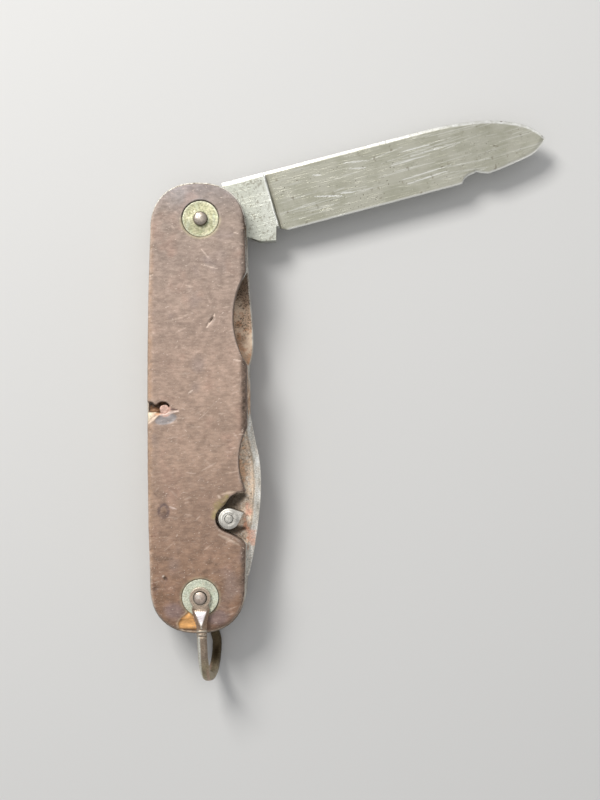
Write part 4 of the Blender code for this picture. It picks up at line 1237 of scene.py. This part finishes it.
def turned(profile, centre, segments):
    """A closed turned mesh: its profile runs down from the middle of its top, or round a ring's section."""
    turns = [2 * math.pi * i / segments for i in range(segments)]
    points, faces, rings = [], [], []
    for radius, height in profile:
        count = 1 if radius < 1e-6 else segments
        rings.append(range(len(points), len(points) + count))
        points += [(centre[0] + radius * math.cos(turn), centre[1] + radius * math.sin(turn), height)
                   for turn in turns[:count]]
    closing = [] if len(rings[0]) == 1 else rings[:1]
    for upper, lower in zip(rings, rings[1:] + closing):
        for i in range(segments):
            j = (i + 1) % segments
            corners = [ring[k % len(ring)] for ring, k in ((upper, i), (lower, i), (lower, j), (upper, j))]
            faces.append(tuple(dict.fromkeys(corners)))
    return mesh_from("turned", points, faces)


def dome_profile(radius, top, crown, steps=10):
    """From the middle of a dome to its rim."""
    turns = [math.radians(90 * i / steps) for i in range(steps + 1)]
    return [(radius * math.sin(turn) ** 0.9, top - crown * (1 - math.cos(turn))) for turn in turns]


def pin_mesh(node, upper, rings, segments):
    """A pin from its upper head's profile, which ends at its shaft and is mirrored for its lower head."""
    both = low_mm(node)[2] + high_mm(node)[2]
    lower = [(radius, both - height) for radius, height in reversed(upper)]
    heights = np.linspace(upper[-1][1], lower[0][1], rings + 1)[1:-1]
    shaft = [(upper[-1][0], height) for height in heights]
    return turned(upper + shaft + lower, centre_mm(node), segments)


def make_end_pin(node, head, crown, collar, rosy, surface):
    """A pin peened over both scales, its heads dented, and rosy in the middle of them or not."""
    low, high, centre = low_mm(node)[2], high_mm(node)[2], centre_mm(node)
    under = high - crown - collar
    upper = dome_profile(head, high, crown) + [(head - 0.05, under), (PIN_SHAFT, under)]
    mesh = pin_mesh(node, upper, 8, 48)
    points = points_of(mesh)
    near_head = span(np.abs(points[:, 2] - THICKNESS / 2), 5.6, 6.2)
    points += normals_of(mesh) * (near_head * (0.05 * cloud(points, 0.8, 151) - 0.03))[:, None]
    points[:, 2] = np.clip(points[:, 2], low, high)
    move_points(mesh, points)
    x, y = points[:, 0], points[:, 1]
    radius = away(x, y, centre)
    store(mesh, "tone", painted(
        plain((0.38, 0.33, 0.28), 0.25 * cloud(points, 0.8, 153)),
        ((0.12, 0.085, 0.05), 0.6 * span(radius, head - 0.25, head)),
        ((0.58, 0.45, 0.38), rosy * fade(radius, head - 0.5, head)),
        # Painted highlight on the head, towards the key light
        ((0.74, 0.71, 0.66), 0.6 * fade(away(x, y, (centre[0] - 0.35, centre[1] + 0.4)), 0.2, 0.8)),
    ))
    piece(f"{node}_peened", mesh, node, surface)


def make_small_pin(node, head, tone, surface):
    """A plain pin whose ends are hammered out a little."""
    crown, shaft = 0.14, 0.8
    top, centre = high_mm(node)[2], centre_mm(node)
    mesh = pin_mesh(node, dome_profile(head, top, crown, 6) + [(shaft, top - 3 * crown)], 12, 32)
    points = points_of(mesh)
    push = 1.0 + 0.09 * noise(points, 0.7, 159)
    points[:, :2] = centre[:2] + (points[:, :2] - centre[:2]) * push[:, None]
    move_points(mesh, points)
    store(mesh, "tone", plain(tone, 0.3 * cloud(points, 0.5, 161)))
    piece(f"{node}_peened", mesh, node, surface)


def make_washer(node, tone, tilt, darkening, surface):
    """A stamped brass washer: rounded rim, slightly dished, and tilted with the scale's slope or not."""
    low, high, centre = low_mm(node)[2], high_mm(node)[2], centre_mm(node)
    front = centre[2] > THICKNESS / 2
    outer = (high_mm(node)[0] - low_mm(node)[0]) / 2 + WASHER_GROWTH
    flat = outer - WASHER_SOFT
    turns = [math.radians(90 * i / 4) for i in range(5)]
    profile = [(PIN_BORE + (flat - PIN_BORE) * i / 12, high - 0.06 * math.sin(math.pi * i / 12))
               for i in range(13)]
    profile += [(flat + WASHER_SOFT * math.sin(turn), high - WASHER_SOFT + WASHER_SOFT * math.cos(turn))
                for turn in turns[1:]]
    profile += [(flat + WASHER_SOFT * math.cos(turn), low + WASHER_SOFT - WASHER_SOFT * math.sin(turn))
                for turn in turns]
    profile.append((PIN_BORE, low))
    if not front:
        profile = [(radius, low + high - height) for radius, height in reversed(profile)]
    mesh = turned(profile, centre, 72)
    points = points_of(mesh)
    outward = 1.0 if front else -1.0
    outer_face = span((points[:, 2] - centre[2]) * outward, 0.0, 0.2)
    slope = (BLADE_PIN[1] - BELLY_HALF) / CROWN_RADIUS
    lean = tilt * np.clip(slope * (points[:, 1] - centre[1]), -0.02, 0.45)
    points[:, 2] -= outward * outer_face * lean
    points[:, 2] -= outward * outer_face * 0.03 * (1.0 + cloud(points, 1.2, 171))
    move_points(mesh, points)
    radius = away(points[:, 0], points[:, 1], centre)
    speckle = cloud(points, 0.6, 173)
    lower_half = span(centre[1] - points[:, 1], 0.0, 3.0)
    store(mesh, "tone", painted(
        plain(tone, 0.20 * cloud(points, 2.0, 176)),
        ((0.36, 0.42, 0.26), 0.45 * span(speckle, 0.1, 0.6)),
        ((0.60, 0.64, 0.54), 0.35 * span(cloud(points, 0.7, 178, 3, (1.0, 4.0, 1.0)), 0.1, 0.55)),
        ((0.66, 0.62, 0.46), 0.6 * span(-speckle, 0.2, 0.7)),
        ((0.36, 0.31, 0.18), darkening * lower_half * (0.6 + 0.8 * speckle)),
        ((0.68, 0.68, 0.55), 0.45 * span(radius, outer - 0.6, outer - 0.1)),
        ((0.12, 0.10, 0.05), 0.6 * fade(radius, PIN_BORE, PIN_BORE + 0.35)),
    ))
    piece(f"{node}_tarnished", mesh, node, surface)


# ---------------------------------------------------------------- floor, light and camera

CAMERA_PLACE = (0.0210, 0.00167, 0.3161)
CAMERA_LENS = 64.5

# Lamps, in metres and watts: name, place, size and power
LAMPS = (("key", (-0.20, 0.33, 0.42), 0.20, 2.7), ("overhead", (0.0, 0.1, 0.9), 1.0, 1.6))


def make_floor():
    mesh = bpy.data.meshes.new("floor")
    with editing(mesh) as shape:
        bmesh.ops.create_grid(shape, x_segments=1, y_segments=1, size=1.5)
    floor = placed("floor", mesh)
    floor.location.z = cad_bounds[0][2]
    n = Nodes("pale_floor", 0.0, 0.85)
    n.shader.inputs["Base Color"].default_value = (0.64, 0.636, 0.625, 1.0)
    mesh.materials.append(n.material)


def make_light():
    """A pale room, a wide soft box overhead, and a key light from up and to the left."""
    world = bpy.data.worlds.new("studio")
    bpy.context.scene.world = world
    world.use_nodes = True
    sky = world.node_tree.nodes["Background"]
    sky.inputs["Color"].default_value = (0.95, 0.97, 1.0, 1.0)
    sky.inputs["Strength"].default_value = 0.40
    for name, place, size, power in LAMPS:
        lamp = bpy.data.lights.new(name, "AREA")
        lamp.size = size
        lamp.energy = power
        lamp.color = (1.0, 0.985, 0.96)
        holder = placed(name, lamp)
        holder.location = place
        holder.rotation_euler = (-holder.location).to_track_quat("-Z", "Y").to_euler()


def make_camera():
    lens = bpy.data.cameras.new("camera")
    lens.lens = CAMERA_LENS
    lens.sensor_width = 36.0
    lens.clip_start = 0.01
    camera = placed("camera", lens)
    camera.location = CAMERA_PLACE
    bpy.context.scene.camera = camera
    bpy.context.scene.view_settings.view_transform = "Standard"


# ---------------------------------------------------------------- the knife

def main():
    make_floor()
    make_light()
    make_camera()

    fibre = fibre_surface()
    for side in ("front", "rear"):
        make_scale(side, fibre)

    rusty = rusty_surface()
    for node in ("front_liner", "centre_liner", "rear_liner"):
        make_plate(node, rusty)
    for node in ("blade_spring", "opener_spring"):
        make_plate(node, rusty)

    make_blade(blade_surface())
    make_opener(toned_steel("old_tool_steel", 0.35, 0.45, 0.65))
    lug_steel = toned_steel("lug_steel", 0.45, 0.45, 0.62, 0.22)
    make_lug(lug_steel)
    make_bail(toned_steel("bail_wire", 0.7, 0.34, 0.55, 0.25))

    pin_steel = toned_steel("pin_steel", 0.75, 0.32, 0.5, 0.25)
    make_end_pin("blade_pin", 1.5, 0.5, 0.25, 0.0, pin_steel)
    make_end_pin("opener_pin", 1.4, 0.38, 0.08, 0.6, pin_steel)
    stained = toned_steel("stained_pin", 0.1, 0.5, 0.7)
    make_small_pin("spring_pin", 1.0, (0.60, 0.39, 0.32), stained)
    make_small_pin("lug_rivet", 0.85, (0.50, 0.48, 0.44), lug_steel)
    brass = toned_steel("tarnished_brass", 0.45, 0.42, 0.62, 0.35)
    for end, looks in WASHER_LOOKS.items():
        for side in ("front", "rear"):
            make_washer(f"{side}_{end}_washer", *looks, brass)


main()
